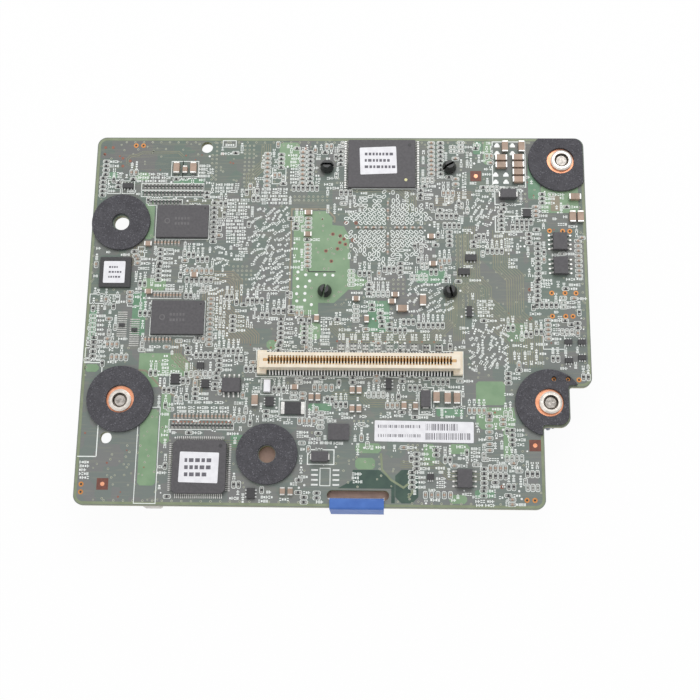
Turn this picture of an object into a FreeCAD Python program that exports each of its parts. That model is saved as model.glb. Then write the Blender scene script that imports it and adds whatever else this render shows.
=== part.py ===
import FreeCAD, Part
import math
import os
import Sketcher

# Raid controller card: a parametric model in millimetres.
#
# Frame: +Z up, +X to the right, +Y to the rear. The card rests on its ports and heat sink, with its mating
# face (the side with the mezzanine connector) up. The origin is under the middle of the whole card, on the
# plane that it rests on. Places on the board are measured from its left and front edges.

SIZES = {
    "circuit_board": {
        "board_width": 133.8, "board_depth": 101.8, "board_thickness": 1.6,
        "stand_height": 11.5,            # underside of the board above the plane that the card rests on
        "corner_radius": 2.5, "inner_corner_radius": 0.9,
        "notch_width": 12.8, "notch_depth": 21.3,       # stepped cut-out of the right front corner
        "step_width": 5.9, "step_depth": 31.9,
        "rear_hole_x": 30.4, "rear_hole_y": 98.9, "rear_hole_radius": 1.6,
        "front_hole_x": 7.5, "front_hole_y": 17.5, "front_hole_radius": 1.5,
        "tab_slot_x": 73.2, "tab_slot_y": 3.1, "tab_slot_length": 15.9, "tab_slot_width": 2.6,
    },
    "cushion_washers": {
        "washer_thickness": 0.9, "washer_setback": 0.4,
        "left_pad_x": 8.0, "left_pad_y": 76.7, "centre_pad_x": 49.6, "centre_pad_y": 13.5,
        "pad_radius": 7.95, "pad_bore": 2.4, "left_pad_hole": 2.05, "centre_pad_hole": 2.2,
        "screw_pad_radius": 8.8, "screw_pad_bore": 3.7,
        "test_hole_radius": 0.65, "test_hole_y": 33.9, "test_hole_left_x": 123.8, "test_hole_right_x": 127.5,
    },
    "captive_screws": {
        "left_screw_x": 10.7, "left_screw_y": 27.7, "left_float_x": 0.0, "left_float_y": -0.4,
        "right_screw_x": 122.5, "right_screw_y": 27.6, "right_float_x": 0.35, "right_float_y": 0.0,
        "rear_screw_x": 127.3, "rear_screw_y": 94.9, "rear_float_x": 0.3, "rear_float_y": 0.15,
        "screw_hole_radius": 2.75,
        "barrel_radius": 2.2, "bore_radius": 1.95,
        "flange_radius": 2.95, "flange_height": 0.75, "collar_radius": 2.5, "collar_height": 1.0,
        "swage_radius": 3.1, "swage_height": 0.6, "lip_height": 0.6, "lip_clearance": 0.2,
        "thread_radius": 1.75, "tip_recess": 0.6, "tip_chamfer": 0.35, "neck_radius": 1.15,
        "thread_rest_gap": 0.05,
        "spring_radius": 2.7, "spring_wire": 0.36, "spring_turns": 4.5,
        "slip_radius": 3.1, "slip_height": 0.4, "slip_clearance": 0.05,
        "knob_radius": 5.1, "knob_drop": 4.2, "knob_height": 5.8, "knob_cup_radius": 3.4,
        "knob_cup_depth": 2.6, "knob_flutes": 20, "flute_depth": 0.5,
        "head_radius": 2.3, "head_height": 1.2, "head_sink": 0.25, "drive_width": 0.8, "drive_depth": 0.8,
    },
    "mezzanine_connector": {
        "connector_x": 73.3, "connector_y": 37.7, "connector_length": 53.7,
        "boss_length": 2.4, "boss_width": 6.2, "boss_height": 1.7,
        "housing_length": 52.2, "housing_width": 4.1, "housing_height": 4.0, "housing_foot": 0.85,
        "key_slot_length": 50.2, "key_slot_width": 0.6,
        "contact_count": 60, "contact_pitch": 0.8, "contact_width": 0.32, "contact_thickness": 0.15,
        "groove_width": 0.46, "groove_depth": 0.85, "beam_height": 3.6, "beam_inset": 0.05, "beam_lean": 0.45,
        "tail_height": 0.66, "tail_knee": 2.35, "tail_reach": 3.3,
    },
    "heat_sink_and_processor": {
        "sink_x": 80.4, "sink_y": 75.15, "sink_width": 42.0, "sink_depth": 44.0, "sink_base": 2.5,
        "fin_count": 13, "fin_thickness": 0.9, "fin_corner_cut": 9.4,
        "pin_spacing_x": 33.4, "pin_spacing_y": 35.5, "pin_hole_radius": 1.6, "pin_clearance": 0.1,
        "pin_head_radius": 3.2, "pin_head_height": 1.2, "pin_spring_length": 4.2, "pin_spring_radius": 2.2,
        "pin_spring_wire": 0.4, "pin_spring_turns": 3.0,
        "pin_barb_radius": 1.9, "pin_barb_height": 3.0, "pin_tip_radius": 1.1, "pin_slit": 0.6,
        "pin_turn": 52.0,
        "processor_side": 27.0, "processor_board": 1.1, "lid_side": 23.0, "lid_height": 1.2,
        "lid_radius": 1.0, "pad_side": 22.0, "pad_height": 0.3,
    },
    "flash_memory": {
        "flash_x": 78.65, "flash_y": 93.85, "flash_length": 18.4, "flash_width": 14.0,
        "flash_height": 1.0, "flash_lead_count": 28, "flash_span": 20.4,
        "flash_label_x": 77.7, "flash_label_y": 94.65, "flash_label_length": 10.0,
        "flash_label_width": 7.9, "flash_label_turn": 2.3,
    },
    "programmable_logic": {
        "logic_x": 32.3, "logic_y": 9.95, "logic_side": 14.0, "logic_height": 1.4,
        "logic_lead_count": 25, "logic_span": 16.1, "logic_corner_cut": 1.0,
        "logic_label_x": 32.3, "logic_label_y": 9.7, "logic_label_length": 10.1,
        "logic_label_width": 7.9, "logic_label_turn": -1.2,
    },
    "fine_leads": {
        "fine_pitch": 0.5, "fine_lead_width": 0.22, "lead_thickness": 0.15,
        "lead_foot": 0.5, "body_gap": 0.1, "label_thickness": 0.1,
        "mould_draft": 8.0,
    },
    "cache_memory": {
        "memory_length": 14.0, "memory_width": 9.2, "memory_height": 1.2, "memory_x": 24.8,
        "memory_front_y": 49.8, "memory_middle_y": 63.3, "memory_rear_y": 76.9,
    },
    "side_controller": {
        "side_chip_x": 7.3, "side_chip_y": 62.4, "side_chip_side": 8.4, "side_chip_height": 0.9,
        "side_label_x": 7.1, "side_label_y": 62.35, "side_label_length": 5.8, "side_label_width": 6.1,
    },
    "power_chip": {
        "power_chip_x": 68.0, "power_chip_y": 19.4, "power_chip_length": 5.4, "power_chip_width": 4.2,
        "power_chip_height": 0.9,
    },
    "buffer_chips": {
        "buffer_length": 4.9, "buffer_width": 3.9, "buffer_height": 1.5, "buffer_span": 6.2,
        "buffer_pitch": 1.27, "buffer_lead_width": 0.42, "buffer_lead_count": 4,
    },
    "sense_resistor": {
        "sense_x": 56.0, "sense_y": 25.6, "sense_length": 6.2, "sense_width": 3.2, "sense_height": 0.7,
        "sense_end": 0.95,
    },
    "diodes": {
        "diode_length": 4.3, "diode_width": 2.5, "diode_height": 2.0, "diode_end_width": 1.5,
        "diode_end_reach": 0.35, "diode_end_height": 1.1,
    },
    "ceramic_capacitors": {
        "large_case_length": 3.2, "large_case_width": 1.65, "large_case_height": 1.3,
        "small_case_length": 2.1, "small_case_width": 1.3, "small_case_height": 0.9, "case_end": 0.4,
    },
    "serial_label": {
        "serial_x": 90.1, "serial_y": 19.75, "serial_length": 25.6, "serial_width": 5.5,
        "serial_turn": -0.6,
    },
    "pull_tab": {
        "tab_x": 72.9, "tab_width": 13.9, "tab_thickness": 0.4, "tab_gap": 0.15, "tab_drop": 8.6,
        "tab_join_drop": 3.0, "tab_inner_drop": 0.8, "tab_fold_rise": 0.08, "tab_bend": 0.6,
    },
    "drive_ports": {
        "port_length": 24.6, "port_width": 5.0, "port_wall": 0.3, "port_corner": 0.7,
        "port_left_x": 2.8, "port_left_y": 34.1, "port_front_x": 18.5, "port_front_y": 13.05,
        "port_window_length": 3.0, "port_window_height": 2.2, "port_window_drop": 3.4,
        "port_window_spacing": 14.0,
        "port_core_gap": 0.05, "port_core_sink": 0.4, "port_slot_length": 19.6, "port_slot_width": 1.5,
        "port_slot_depth": 7.0, "port_contact_count": 18, "port_contact_pitch": 0.8,
        "port_contact_width": 0.35, "port_contact_thickness": 0.2, "port_contact_length": 6.0,
    },
    "power_filter": {
        "coil_side": 7.2, "coil_height": 3.4, "coil_corner_cut": 1.2, "coil_x": 109.0,
        "coil_front_y": 14.5, "coil_rear_y": 25.0,
        "polymer_length": 7.3, "polymer_width": 4.3, "polymer_height": 2.8, "polymer_x": 108.6,
        "polymer_front_y": 37.0, "polymer_pitch_y": 7.5,
    },
}

# Places of the small parts on the mating face: (from the left edge, from the front edge).
BUFFERS_ACROSS = {"buffer_rear": (126.5, 71.6), "buffer_right": (126.5, 64.8), "buffer_front": (100.4, 7.6)}
BUFFERS_ALONG = {"buffer_left": (39.75, 31.5)}
DIODES_ACROSS = {"diode_rear": (112.9, 85.0), "diode_front": (63.3, 12.8)}
DIODES_ALONG = {"diode_middle": (90.5, 28.2)}
SMALL_CHIPS = {         # x, y, length across, width along
    "gate_rear_left": (9.2, 87.3, 2.9, 1.4), "gate_rear_right": (117.9, 79.8, 2.1, 2.2),
    "gate_upper": (102.7, 67.0, 3.0, 1.7), "gate_lower": (100.8, 63.1, 3.0, 1.7),
    "gate_upright": (102.1, 52.0, 1.4, 2.9), "gate_middle": (80.9, 32.3, 1.5, 2.8),
    "gate_notch_left": (127.9, 43.9, 2.0, 1.25), "gate_notch_right": (131.4, 43.9, 2.0, 1.25),
    "gate_notch_low": (127.9, 38.9, 2.0, 1.25), "gate_notch_edge": (131.4, 39.7, 2.0, 1.25),
    "gate_left": (24.9, 33.2, 2.2, 2.6),
    "sensor_left": (31.4, 36.8, 1.8, 1.7), "sensor_front": (32.9, 31.9, 2.0, 2.1),
    "clock_chip": (49.9, 27.3, 2.2, 2.4), "reset_chip": (45.8, 3.3, 2.1, 2.7),
    "guard_chip": (91.7, 8.0, 1.7, 1.5),
}
LARGE_CASES_ALONG = {
    "bulk_far_left": (22.4, 92.5), "bulk_left": (27.0, 92.5), "bulk_clock": (49.15, 31.4),
    "bulk_filter": (46.05, 27.6), "bulk_core": (89.85, 55.0), "bulk_supply_left": (93.3, 28.8),
    "bulk_supply_middle": (96.2, 28.6), "bulk_supply_right": (98.6, 28.6), "bulk_edge_left": (130.1, 78.7),
    "bulk_edge_right": (132.2, 78.7), "bulk_rear_left": (112.3, 99.0), "bulk_rear_right": (116.8, 99.0),
}
LARGE_CASES_ACROSS = {
    "bank_left_rear": (111.2, 95.7), "bank_left_front": (111.2, 93.55), "bank_right_rear": (115.8, 95.8),
    "bank_right_upper": (115.8, 93.65), "bank_right_lower": (115.8, 91.5), "bank_right_front": (115.8, 89.35),
    "bulk_processor": (84.4, 52.7), "bulk_corner": (130.9, 84.4),
}
SMALL_CASES_ALONG = {
    "cap_left": (24.7, 92.1), "cap_bus_left": (61.7, 49.9), "cap_bus_right": (74.95, 49.8),
    "cap_bank_left": (71.4, 30.6), "cap_bank_right": (73.2, 30.6), "cap_pair_left": (71.4, 25.6),
    "cap_pair_right": (73.2, 25.6), "cap_front_left": (53.9, 3.9), "cap_front_right": (55.9, 3.9),
    "cap_supply_left": (84.9, 26.5), "cap_supply_right": (87.9, 26.4), "link_left": (60.7, 28.6),
    "link_right": (62.5, 28.6),
}
SMALL_CASES_ACROSS = {
    "cap_chip": (28.6, 61.8), "cap_pour_rear": (58.9, 79.7), "cap_pour": (58.85, 73.5),
    "cap_core": (72.1, 55.4), "cap_core_rear": (82.5, 56.6), "cap_core_front": (81.6, 54.7),
    "cap_array": (92.1, 73.0), "cap_side": (92.6, 65.3), "cap_clock": (56.3, 31.2),
    "cap_side_rear": (15.7, 70.6), "cap_side_front": (16.6, 57.1),
}

COIL_STEPS = 8         # straight steps in one turn of a spring
X_AXIS, Y_AXIS, Z_AXIS = FreeCAD.Vector(1, 0, 0), FreeCAD.Vector(0, 1, 0), FreeCAD.Vector(0, 0, 1)
UPRIGHT_YZ = FreeCAD.Rotation(Y_AXIS, Z_AXIS, X_AXIS, "ZXY")     # sketch x runs along Y, sketch y along Z

# Expressions that the parts share.
LEFT = "-sizes.board_width / 2"
FRONT = "(sizes.tab_gap + sizes.tab_thickness - sizes.board_depth) / 2"
UNDER = "sizes.stand_height"
FACE = "sizes.stand_height + sizes.board_thickness"
SCREWS = ("left", "right", "rear")

doc = FreeCAD.newDocument("RaidControllerCard")
sizes = doc.addObject("Spreadsheet::Sheet", "sizes")
nodes = []


# ------------------------------------------------------------------------------------ the sheet of sizes
def fill_sheet():
    """Writes each size to its own row: its name, its value as plain text and the alias that parts read."""
    row = 1
    for title, entries in SIZES.items():
        sizes.set(f"A{row}", title)
        row += 1
        for alias, number in entries.items():
            sizes.set(f"A{row}", alias)
            sizes.set(f"B{row}", str(number))
            sizes.setAlias(f"B{row}", alias)
            row += 1


def add_places():
    """Gives the table of small parts its own rows, so that each place can be changed in the sheet."""
    for title, table in (
        ("Buffer places", {**BUFFERS_ACROSS, **BUFFERS_ALONG}),
        ("Diode places", {**DIODES_ACROSS, **DIODES_ALONG}),
        ("Small chip places", SMALL_CHIPS),
        ("Large capacitor places", {**LARGE_CASES_ALONG, **LARGE_CASES_ACROSS}),
        ("Small capacitor places", {**SMALL_CASES_ALONG, **SMALL_CASES_ACROSS}),
    ):
        fields = ("x", "y", "length", "width")
        SIZES[title] = {
            f"{name}_{field}": number for name, place in table.items() for field, number in zip(fields, place)
        }


def value(alias):
    return float(sizes.get(alias))


def count(alias):
    return int(sizes.get(alias))


def number_of(owner, expression):
    """The value that an expression has now, for a sketch's first drawing."""
    result = owner.evalExpression(str(expression))
    return float(getattr(result, "Value", result))


def bind(item, **expressions):
    """Binds properties to expressions; a double underscore stands for the dot of a nested property."""
    for name, expression in expressions.items():
        item.setExpression(name.replace("__", "."), expression)
    return item


def place(item, x, y, z, turn=None):
    """Puts a part at board place x, y (expressions from the left and front edges) and height z."""
    bind(item, Placement__Base__x=f"{LEFT} + {x}", Placement__Base__y=f"{FRONT} + {y}", Placement__Base__z=z)
    if turn:
        bind(item, Placement__Rotation__Angle=turn)
    return item


def spot(x, y, z, degrees=0.0):
    """The placement for a group at board place x, y (numbers) and height z."""
    left = -value("board_width") / 2
    front = (value("tab_gap") + value("tab_thickness") - value("board_depth")) / 2
    return FreeCAD.Placement(FreeCAD.Vector(left + x, front + y, z), FreeCAD.Rotation(Z_AXIS, degrees))


def node(item, name):
    """Marks a part as a sub-part that is written to its own file."""
    item.Label = name
    nodes.append(item)
    return item


# ------------------------------------------------------------------------------------ sketch geometry
def hold_point(sketch, geometry, vertex, x, y):
    """Holds one point of a sketch at x, y, given as expressions from the sketch's origin."""
    for kind, expression in (("DistanceX", x), ("DistanceY", y)):
        distance = number_of(sketch, expression)
        index = sketch.addConstraint(Sketcher.Constraint(kind, -1, 1, geometry, vertex, distance))
        sketch.setExpression(f"Constraints[{index}]", str(expression))


def add_polygon(sketch, corners):
    """Adds a closed loop of straight lines through corners given as pairs of expressions."""
    points = [FreeCAD.Vector(number_of(sketch, x), number_of(sketch, y), 0) for x, y in corners]
    first = sketch.GeometryCount
    total = len(points)
    sketch.addGeometry([Part.LineSegment(points[i], points[(i + 1) % total]) for i in range(total)], False)
    for i in range(total):
        sketch.addConstraint(Sketcher.Constraint("Coincident", first + i, 2, first + (i + 1) % total, 1))
    for i, (x, y) in enumerate(corners):
        hold_point(sketch, first + i, 1, x, y)
    return sketch


def add_circle(sketch, radius, x="0", y="0"):
    """Adds a circle with its radius and centre given as expressions."""
    centre = FreeCAD.Vector(number_of(sketch, x), number_of(sketch, y), 0)
    index = sketch.addGeometry(Part.Circle(centre, Z_AXIS, number_of(sketch, radius)), False)
    hold_point(sketch, index, 3, x, y)
    held = sketch.addConstraint(Sketcher.Constraint("Radius", index, number_of(sketch, radius)))
    sketch.setExpression(f"Constraints[{held}]", radius)
    return sketch


def add_rounded_loop(sketch, walls, radii):
    """Adds a closed loop, drawn anticlockwise, of upright and level walls in turn with rounded corners.

    walls[0] is an upright wall at x = walls[0], walls[1] a level wall at y = walls[1], and so on.
    radii[i] rounds the corner between walls i and i + 1. Arcs are held by centre and radius, and the
    straight lines run tangent from arc to arc.
    """
    total = len(walls)
    at = [number_of(sketch, wall) for wall in walls]
    rounds = [number_of(sketch, radius) for radius in radii]
    corners = []
    for i in range(total):
        pair = (at[i], at[(i + 1) % total])
        corners.append(FreeCAD.Vector(*(pair if i % 2 == 0 else pair[::-1]), 0))
    headings = [(corners[i] - corners[i - 1]).normalize() for i in range(total)]
    first = sketch.GeometryCount
    for i in range(total):
        start = corners[i - 1] + headings[i] * rounds[i - 1]
        sketch.addGeometry(Part.LineSegment(start, corners[i] - headings[i] * rounds[i]), False)
    for i in range(total):
        heading, following = headings[i], headings[(i + 1) % total]
        centre = corners[i] + (following - heading) * rounds[i]
        left_turn = heading.cross(following).z > 0
        low, high = (-following, heading) if left_turn else (heading, -following)
        start, end = math.atan2(low.y, low.x), math.atan2(high.y, high.x)
        end = end if end > start else end + 2 * math.pi
        circle = Part.Circle(centre, Z_AXIS, rounds[i])
        arc = sketch.addGeometry(Part.ArcOfCircle(circle, start, end), False)
        near, far = (1, 2) if left_turn else (2, 1)
        walls_here = (walls[i], walls[(i + 1) % total])
        across, along = walls_here if i % 2 == 0 else walls_here[::-1]
        side_x = "+" if centre.x > corners[i].x else "-"
        side_y = "+" if centre.y > corners[i].y else "-"
        hold_point(sketch, arc, 3, f"{across} {side_x} {radii[i]}", f"{along} {side_y} {radii[i]}")
        held = sketch.addConstraint(Sketcher.Constraint("Radius", arc, rounds[i]))
        sketch.setExpression(f"Constraints[{held}]", radii[i])
        sketch.addConstraint(Sketcher.Constraint("Tangent", first + i, 2, arc, near))
        sketch.addConstraint(Sketcher.Constraint("Tangent", arc, far, first + (i + 1) % total, 1))
    return sketch


def add_rectangle(sketch, length, width, x="0", y="0"):
    """Adds a rectangle centred on x, y."""
    low_x, high_x = f"{x} - {length} / 2", f"{x} + {length} / 2"
    low_y, high_y = f"{y} - {width} / 2", f"{y} + {width} / 2"
    return add_polygon(sketch, [(low_x, low_y), (high_x, low_y), (high_x, high_y), (low_x, high_y)])


def add_rounded_rectangle(sketch, length, width, radius, x="0", y="0"):
    """Adds a rectangle with round corners, centred on x, y."""
    walls = [f"{x} + {length} / 2", f"{y} + {width} / 2", f"{x} - {length} / 2", f"{y} - {width} / 2"]
    return add_rounded_loop(sketch, walls, [radius] * 4)


def add_slot(sketch, length, width, x, y):
    """Adds a slot with full round ends that lies along the sketch's x."""
    radius = number_of(sketch, f"{width} / 2")
    reach = f"({length} - {width}) / 2"
    arcs = []
    for side, start in (("+", -math.pi / 2), ("-", math.pi / 2)):
        centre_x = f"{x} {side} {reach}"
        centre = FreeCAD.Vector(number_of(sketch, centre_x), number_of(sketch, y), 0)
        circle = Part.Circle(centre, Z_AXIS, radius)
        arc = sketch.addGeometry(Part.ArcOfCircle(circle, start, start + math.pi), False)
        hold_point(sketch, arc, 3, centre_x, y)
        held = sketch.addConstraint(Sketcher.Constraint("Radius", arc, radius))
        sketch.setExpression(f"Constraints[{held}]", f"{width} / 2")
        arcs.append((arc, centre))
    for (arc, centre), (other, far), side in ((arcs[0], arcs[1], 1), (arcs[1], arcs[0], -1)):
        rise = FreeCAD.Vector(0, side * radius, 0)
        line = sketch.addGeometry(Part.LineSegment(centre + rise, far + rise), False)
        sketch.addConstraint(Sketcher.Constraint("Tangent", arc, 2, line, 1))
        sketch.addConstraint(Sketcher.Constraint("Tangent", line, 2, other, 1))
    return sketch


# ------------------------------------------------------------------------------------ features
def new_body(name):
    return doc.addObject("PartDesign::Body", name)


def new_sketch(body, role, name, offset=None):
    """Adds a sketch on one of a body's origin planes, moved along the plane's normal by offset."""
    sketch = body.newObject("Sketcher::SketchObject", name)
    plane = next(feature for feature in body.Origin.OriginFeatures if feature.Role == role)
    sketch.AttachmentSupport = [(plane, "")]
    sketch.MapMode = "FlatFace"
    if offset:
        bind(sketch, AttachmentOffset__Base__z=offset)
    doc.recompute()
    return sketch


def pad(body, sketch, length, name, down=False):
    feature = body.newObject("PartDesign::Pad", name)
    feature.Profile = sketch
    feature.Reversed = down
    bind(feature, Length=length)
    doc.recompute()
    return feature


def pocket(body, sketch, name, depth=None, reverse=False, both_ways=False):
    """Cuts a sketch's shape away: to depth, or right through with no depth."""
    feature = body.newObject("PartDesign::Pocket", name)
    feature.Profile = sketch
    feature.Reversed = reverse
    if depth:
        bind(feature, Length=depth)
    else:
        feature.Type = "ThroughAll"
    feature.Midplane = both_ways
    doc.recompute()
    return feature


def revolve(body, sketch, name):
    feature = body.newObject("PartDesign::Revolution", name)
    feature.Profile = sketch
    feature.ReferenceAxis = (sketch, ["V_Axis"])
    feature.Angle = 360
    doc.recompute()
    return feature


def round_edges(body, base, radius, chosen, name):
    """Fillets the edges of the base feature that the chosen function accepts."""
    names = [f"Edge{i + 1}" for i, edge in enumerate(base.Shape.Edges) if chosen(edge)]
    feature = body.newObject("PartDesign::Fillet", name)
    feature.Base = (base, names)
    bind(feature, Radius=radius)
    doc.recompute()
    return feature


def turned_body(name, profile):
    """A body turned about its own Z axis from a profile of (radius, height) expressions."""
    body = new_body(name)
    sketch = new_sketch(body, "XZ_Plane", f"{name}_profile")
    add_polygon(sketch, profile)
    revolve(body, sketch, f"{name}_turned")
    return body


def coil(radius, wire, turns, height):
    """A compression spring's solid, standing on its own origin.

    Its wire is a four-sided bar swept round in straight steps, which keeps the coil to few flat faces.
    """
    steps = round(turns * COIL_STEPS)
    rise = height - wire
    corners = []
    for step in range(steps + 1):
        angle = 2 * math.pi * turns * step / steps
        out = FreeCAD.Vector(math.cos(angle), math.sin(angle), 0)
        middle = out * radius + Z_AXIS * (wire / 2 + rise * step / steps)
        offsets = (out * wire / 2, Z_AXIS * wire / 2, -out * wire / 2, -Z_AXIS * wire / 2)
        corners.append([middle + offset for offset in offsets])
    loops = [corners[0], corners[-1]]
    for near, far in zip(corners, corners[1:]):
        for i in range(4):
            after = (i + 1) % 4
            loops += [[near[i], near[after], far[after]], [near[i], far[after], far[i]]]
    faces = [Part.Face(Part.makePolygon(loop + loop[:1])) for loop in loops]
    solid = Part.Solid(Part.Shell(faces))
    if solid.Volume < 0:
        solid.reverse()
    return solid


def flat_sketch(name):
    """A free sketch that lies level."""
    sketch = doc.addObject("Sketcher::SketchObject", name)
    doc.recompute()
    return sketch


def extrude(name, sketch, up, down="0", direction=Z_AXIS, taper=None):
    """Extrudes a free sketch both ways from its plane."""
    solid = doc.addObject("Part::Extrusion", name)
    solid.Base = sketch
    solid.DirMode = "Custom"
    solid.Dir = direction
    solid.Solid = True
    bind(solid, LengthFwd=up, LengthRev=down)
    if taper:
        bind(solid, TaperAngle=f"-{taper}", TaperAngleRev=f"-{taper}")
    return solid


def moulded_block(name, draw, x, y, gap, height, base=FACE, down=False):
    """A chip's moulded body: its outline at the parting line, with draft above and below it."""
    sketch = flat_sketch(f"{name}_outline")
    draw(sketch)
    middle = f"({gap} + {height}) / 2"
    place(sketch, x, y, f"{base} - {middle}" if down else f"{base} + {middle}")
    half = f"({height} - {gap}) / 2"
    return extrude(name, sketch, half, half, taper="sizes.mould_draft")


def compound(name, links):
    """Identical pieces in one node, each a separate solid."""
    group = doc.addObject("Part::Compound", name)
    group.Links = links
    return group


def copies(name, shape, spots, placement):
    """A group of separate solids: copies of one shape at local spots, then placed as one."""
    pieces = []
    for local in spots:
        piece = shape.copy()
        piece.Placement = local.multiply(shape.Placement)
        pieces.append(piece)
    group = doc.addObject("Part::Feature", name)
    group.Shape = Part.makeCompound(pieces)
    group.Placement = placement
    return node(group, name)


def box(name, x, y, z, length, width, height):
    """A box with its middle at board place x, y and its underside at height z, all as expressions."""
    solid = doc.addObject("Part::Box", name)
    bind(solid, Length=length, Width=width, Height=height)
    return place(solid, f"{x} - {length} / 2", f"{y} - {width} / 2", z)


# ------------------------------------------------------------------------------------ circuit board
def board_walls(inset="0"):
    """The board's outline, moved inwards by an inset, for add_rounded_loop."""
    right, rear = f"sizes.board_width - {inset}", f"sizes.board_depth - {inset}"
    notch = f"sizes.board_width - sizes.notch_width - {inset}"
    step = f"sizes.board_width - sizes.step_width - {inset}"
    walls = [notch, f"sizes.notch_depth + {inset}", step, f"sizes.step_depth + {inset}"]
    walls += [right, rear, inset, inset]
    inner, outer = "sizes.inner_corner_radius", "sizes.corner_radius"
    return walls, [inner, outer, inner, outer, outer, outer, outer, outer]


def make_board():
    body = new_body("circuit_board_body")
    outline = new_sketch(body, "XY_Plane", "board_outline")
    add_rounded_loop(outline, *board_walls())
    pad(body, outline, "sizes.board_thickness", "board_pad")
    holes = new_sketch(body, "XY_Plane", "board_holes")
    for hole in ("rear_hole", "front_hole"):
        add_circle(holes, f"sizes.{hole}_radius", f"sizes.{hole}_x", f"sizes.{hole}_y")
    for side in ("left", "centre"):
        add_circle(holes, f"sizes.{side}_pad_hole", f"sizes.{side}_pad_x", f"sizes.{side}_pad_y")
    for side in SCREWS:
        add_circle(holes, "sizes.screw_hole_radius", f"sizes.{side}_screw_x", f"sizes.{side}_screw_y")
    for x_side in ("-", "+"):
        for y_side in ("-", "+"):
            x = f"sizes.sink_x {x_side} sizes.pin_spacing_x / 2"
            y = f"sizes.sink_y {y_side} sizes.pin_spacing_y / 2"
            add_circle(holes, "sizes.pin_hole_radius", x, y)
    pocket(body, holes, "board_hole_cut", reverse=True)
    slot = new_sketch(body, "XY_Plane", "tab_slot")
    add_slot(slot, "sizes.tab_slot_length", "sizes.tab_slot_width", "sizes.tab_slot_x", "sizes.tab_slot_y")
    pocket(body, slot, "tab_slot_cut", reverse=True)
    place(body, "0", "0", UNDER)
    node(body, "circuit_board")


# ------------------------------------------------------------------------------------ cushion washers
def make_standoff_washers():
    """Two round washers, each around a standoff hole."""
    washers = []
    for side in ("left", "centre"):
        sketch = flat_sketch(f"standoff_washer_{side}_outline")
        add_circle(sketch, "sizes.pad_radius")
        add_circle(sketch, "sizes.pad_bore")
        place(sketch, f"sizes.{side}_pad_x", f"sizes.{side}_pad_y", FACE)
        washers.append(extrude(f"standoff_washer_{side}", sketch, "sizes.washer_thickness"))
    node(compound("standoff_washers", washers), "standoff_washers")


def make_screw_washers():
    """Die-cut washers under the captive screws, trimmed where they meet the board's outline."""
    trim = flat_sketch("washer_trim")
    add_rounded_loop(trim, *board_walls("sizes.washer_setback"))
    place(trim, "0", "0", FACE)
    board_area = extrude("washer_board_area", trim, "sizes.washer_thickness")
    washers = []
    for side in SCREWS:
        disc = flat_sketch(f"screw_washer_{side}_disc")
        add_circle(disc, "sizes.screw_pad_radius", f"sizes.{side}_screw_x", f"sizes.{side}_screw_y")
        add_circle(disc, "sizes.screw_pad_bore", f"sizes.{side}_screw_x", f"sizes.{side}_screw_y")
        if side == "right":
            for x in ("sizes.test_hole_left_x", "sizes.test_hole_right_x"):
                add_circle(disc, "sizes.test_hole_radius", x, "sizes.test_hole_y")
        place(disc, "0", "0", FACE)
        washer = doc.addObject("Part::Common", f"screw_washer_{side}")
        washer.Base = extrude(f"screw_washer_{side}_blank", disc, "sizes.washer_thickness")
        washer.Tool = board_area
        washers.append(washer)
    node(compound("screw_washers", washers), "screw_washers")


# ------------------------------------------------------------------------------------ captive screws
def screw_place(side):
    x = f"sizes.{side}_screw_x + sizes.{side}_float_x"
    y = f"sizes.{side}_screw_y + sizes.{side}_float_y"
    return x, y, UNDER


def make_retainers():
    """The swaged bushes that hold the screws to the board; heights run from the board's underside."""
    face = "sizes.board_thickness"
    lip = "sizes.neck_radius + sizes.lip_clearance"
    lip_top = "sizes.lip_height - sizes.swage_height"
    top = f"{face} + sizes.collar_height"
    profile = [
        (lip, "-sizes.swage_height"), ("sizes.swage_radius", "-sizes.swage_height"),
        ("sizes.swage_radius", "0"),
        ("sizes.barrel_radius", "0"), ("sizes.barrel_radius", face), ("sizes.flange_radius", face),
        ("sizes.flange_radius", f"{face} + sizes.flange_height"), ("sizes.collar_radius", top),
        ("sizes.bore_radius", top), ("sizes.bore_radius", lip_top), (lip, lip_top),
    ]
    bushes = [place(turned_body(f"screw_retainer_{side}", profile), *screw_place(side)) for side in SCREWS]
    node(compound("screw_retainers", bushes), "screw_retainers")


def make_screw(side):
    """The screw: its thread rests on the bush's lip, and its head is set in the knob."""
    thread_foot = "sizes.lip_height - sizes.swage_height + sizes.thread_rest_gap"
    tip = "sizes.board_thickness + sizes.collar_height - sizes.tip_recess"
    head_foot = "sizes.head_sink - sizes.knob_drop - sizes.knob_height"
    head_top = f"{head_foot} + sizes.head_height"
    name = f"captive_screw_{side}"
    body = turned_body(f"{name}_body", [
        ("0", head_foot), ("sizes.head_radius", head_foot), ("sizes.head_radius", head_top),
        ("sizes.neck_radius", head_top), ("sizes.neck_radius", thread_foot),
        ("sizes.thread_radius", thread_foot), ("sizes.thread_radius", f"{tip} - sizes.tip_chamfer"),
        ("sizes.thread_radius - sizes.tip_chamfer", tip), ("0", tip),
    ])
    drive = new_sketch(body, "XY_Plane", f"{name}_drive", head_foot)
    arm, half = "sizes.head_radius * 0.7", "sizes.drive_width / 2"
    add_polygon(drive, [
        (f"-{arm}", f"-{half}"), (f"-{half}", f"-{half}"), (f"-{half}", f"-{arm}"), (half, f"-{arm}"),
        (half, f"-{half}"), (arm, f"-{half}"), (arm, half), (half, half), (half, arm), (f"-{half}", arm),
        (f"-{half}", half), (f"-{arm}", half),
    ])
    pocket(body, drive, f"{name}_drive_cut", "sizes.drive_depth", reverse=True)
    node(place(body, *screw_place(side)), name)


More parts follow.
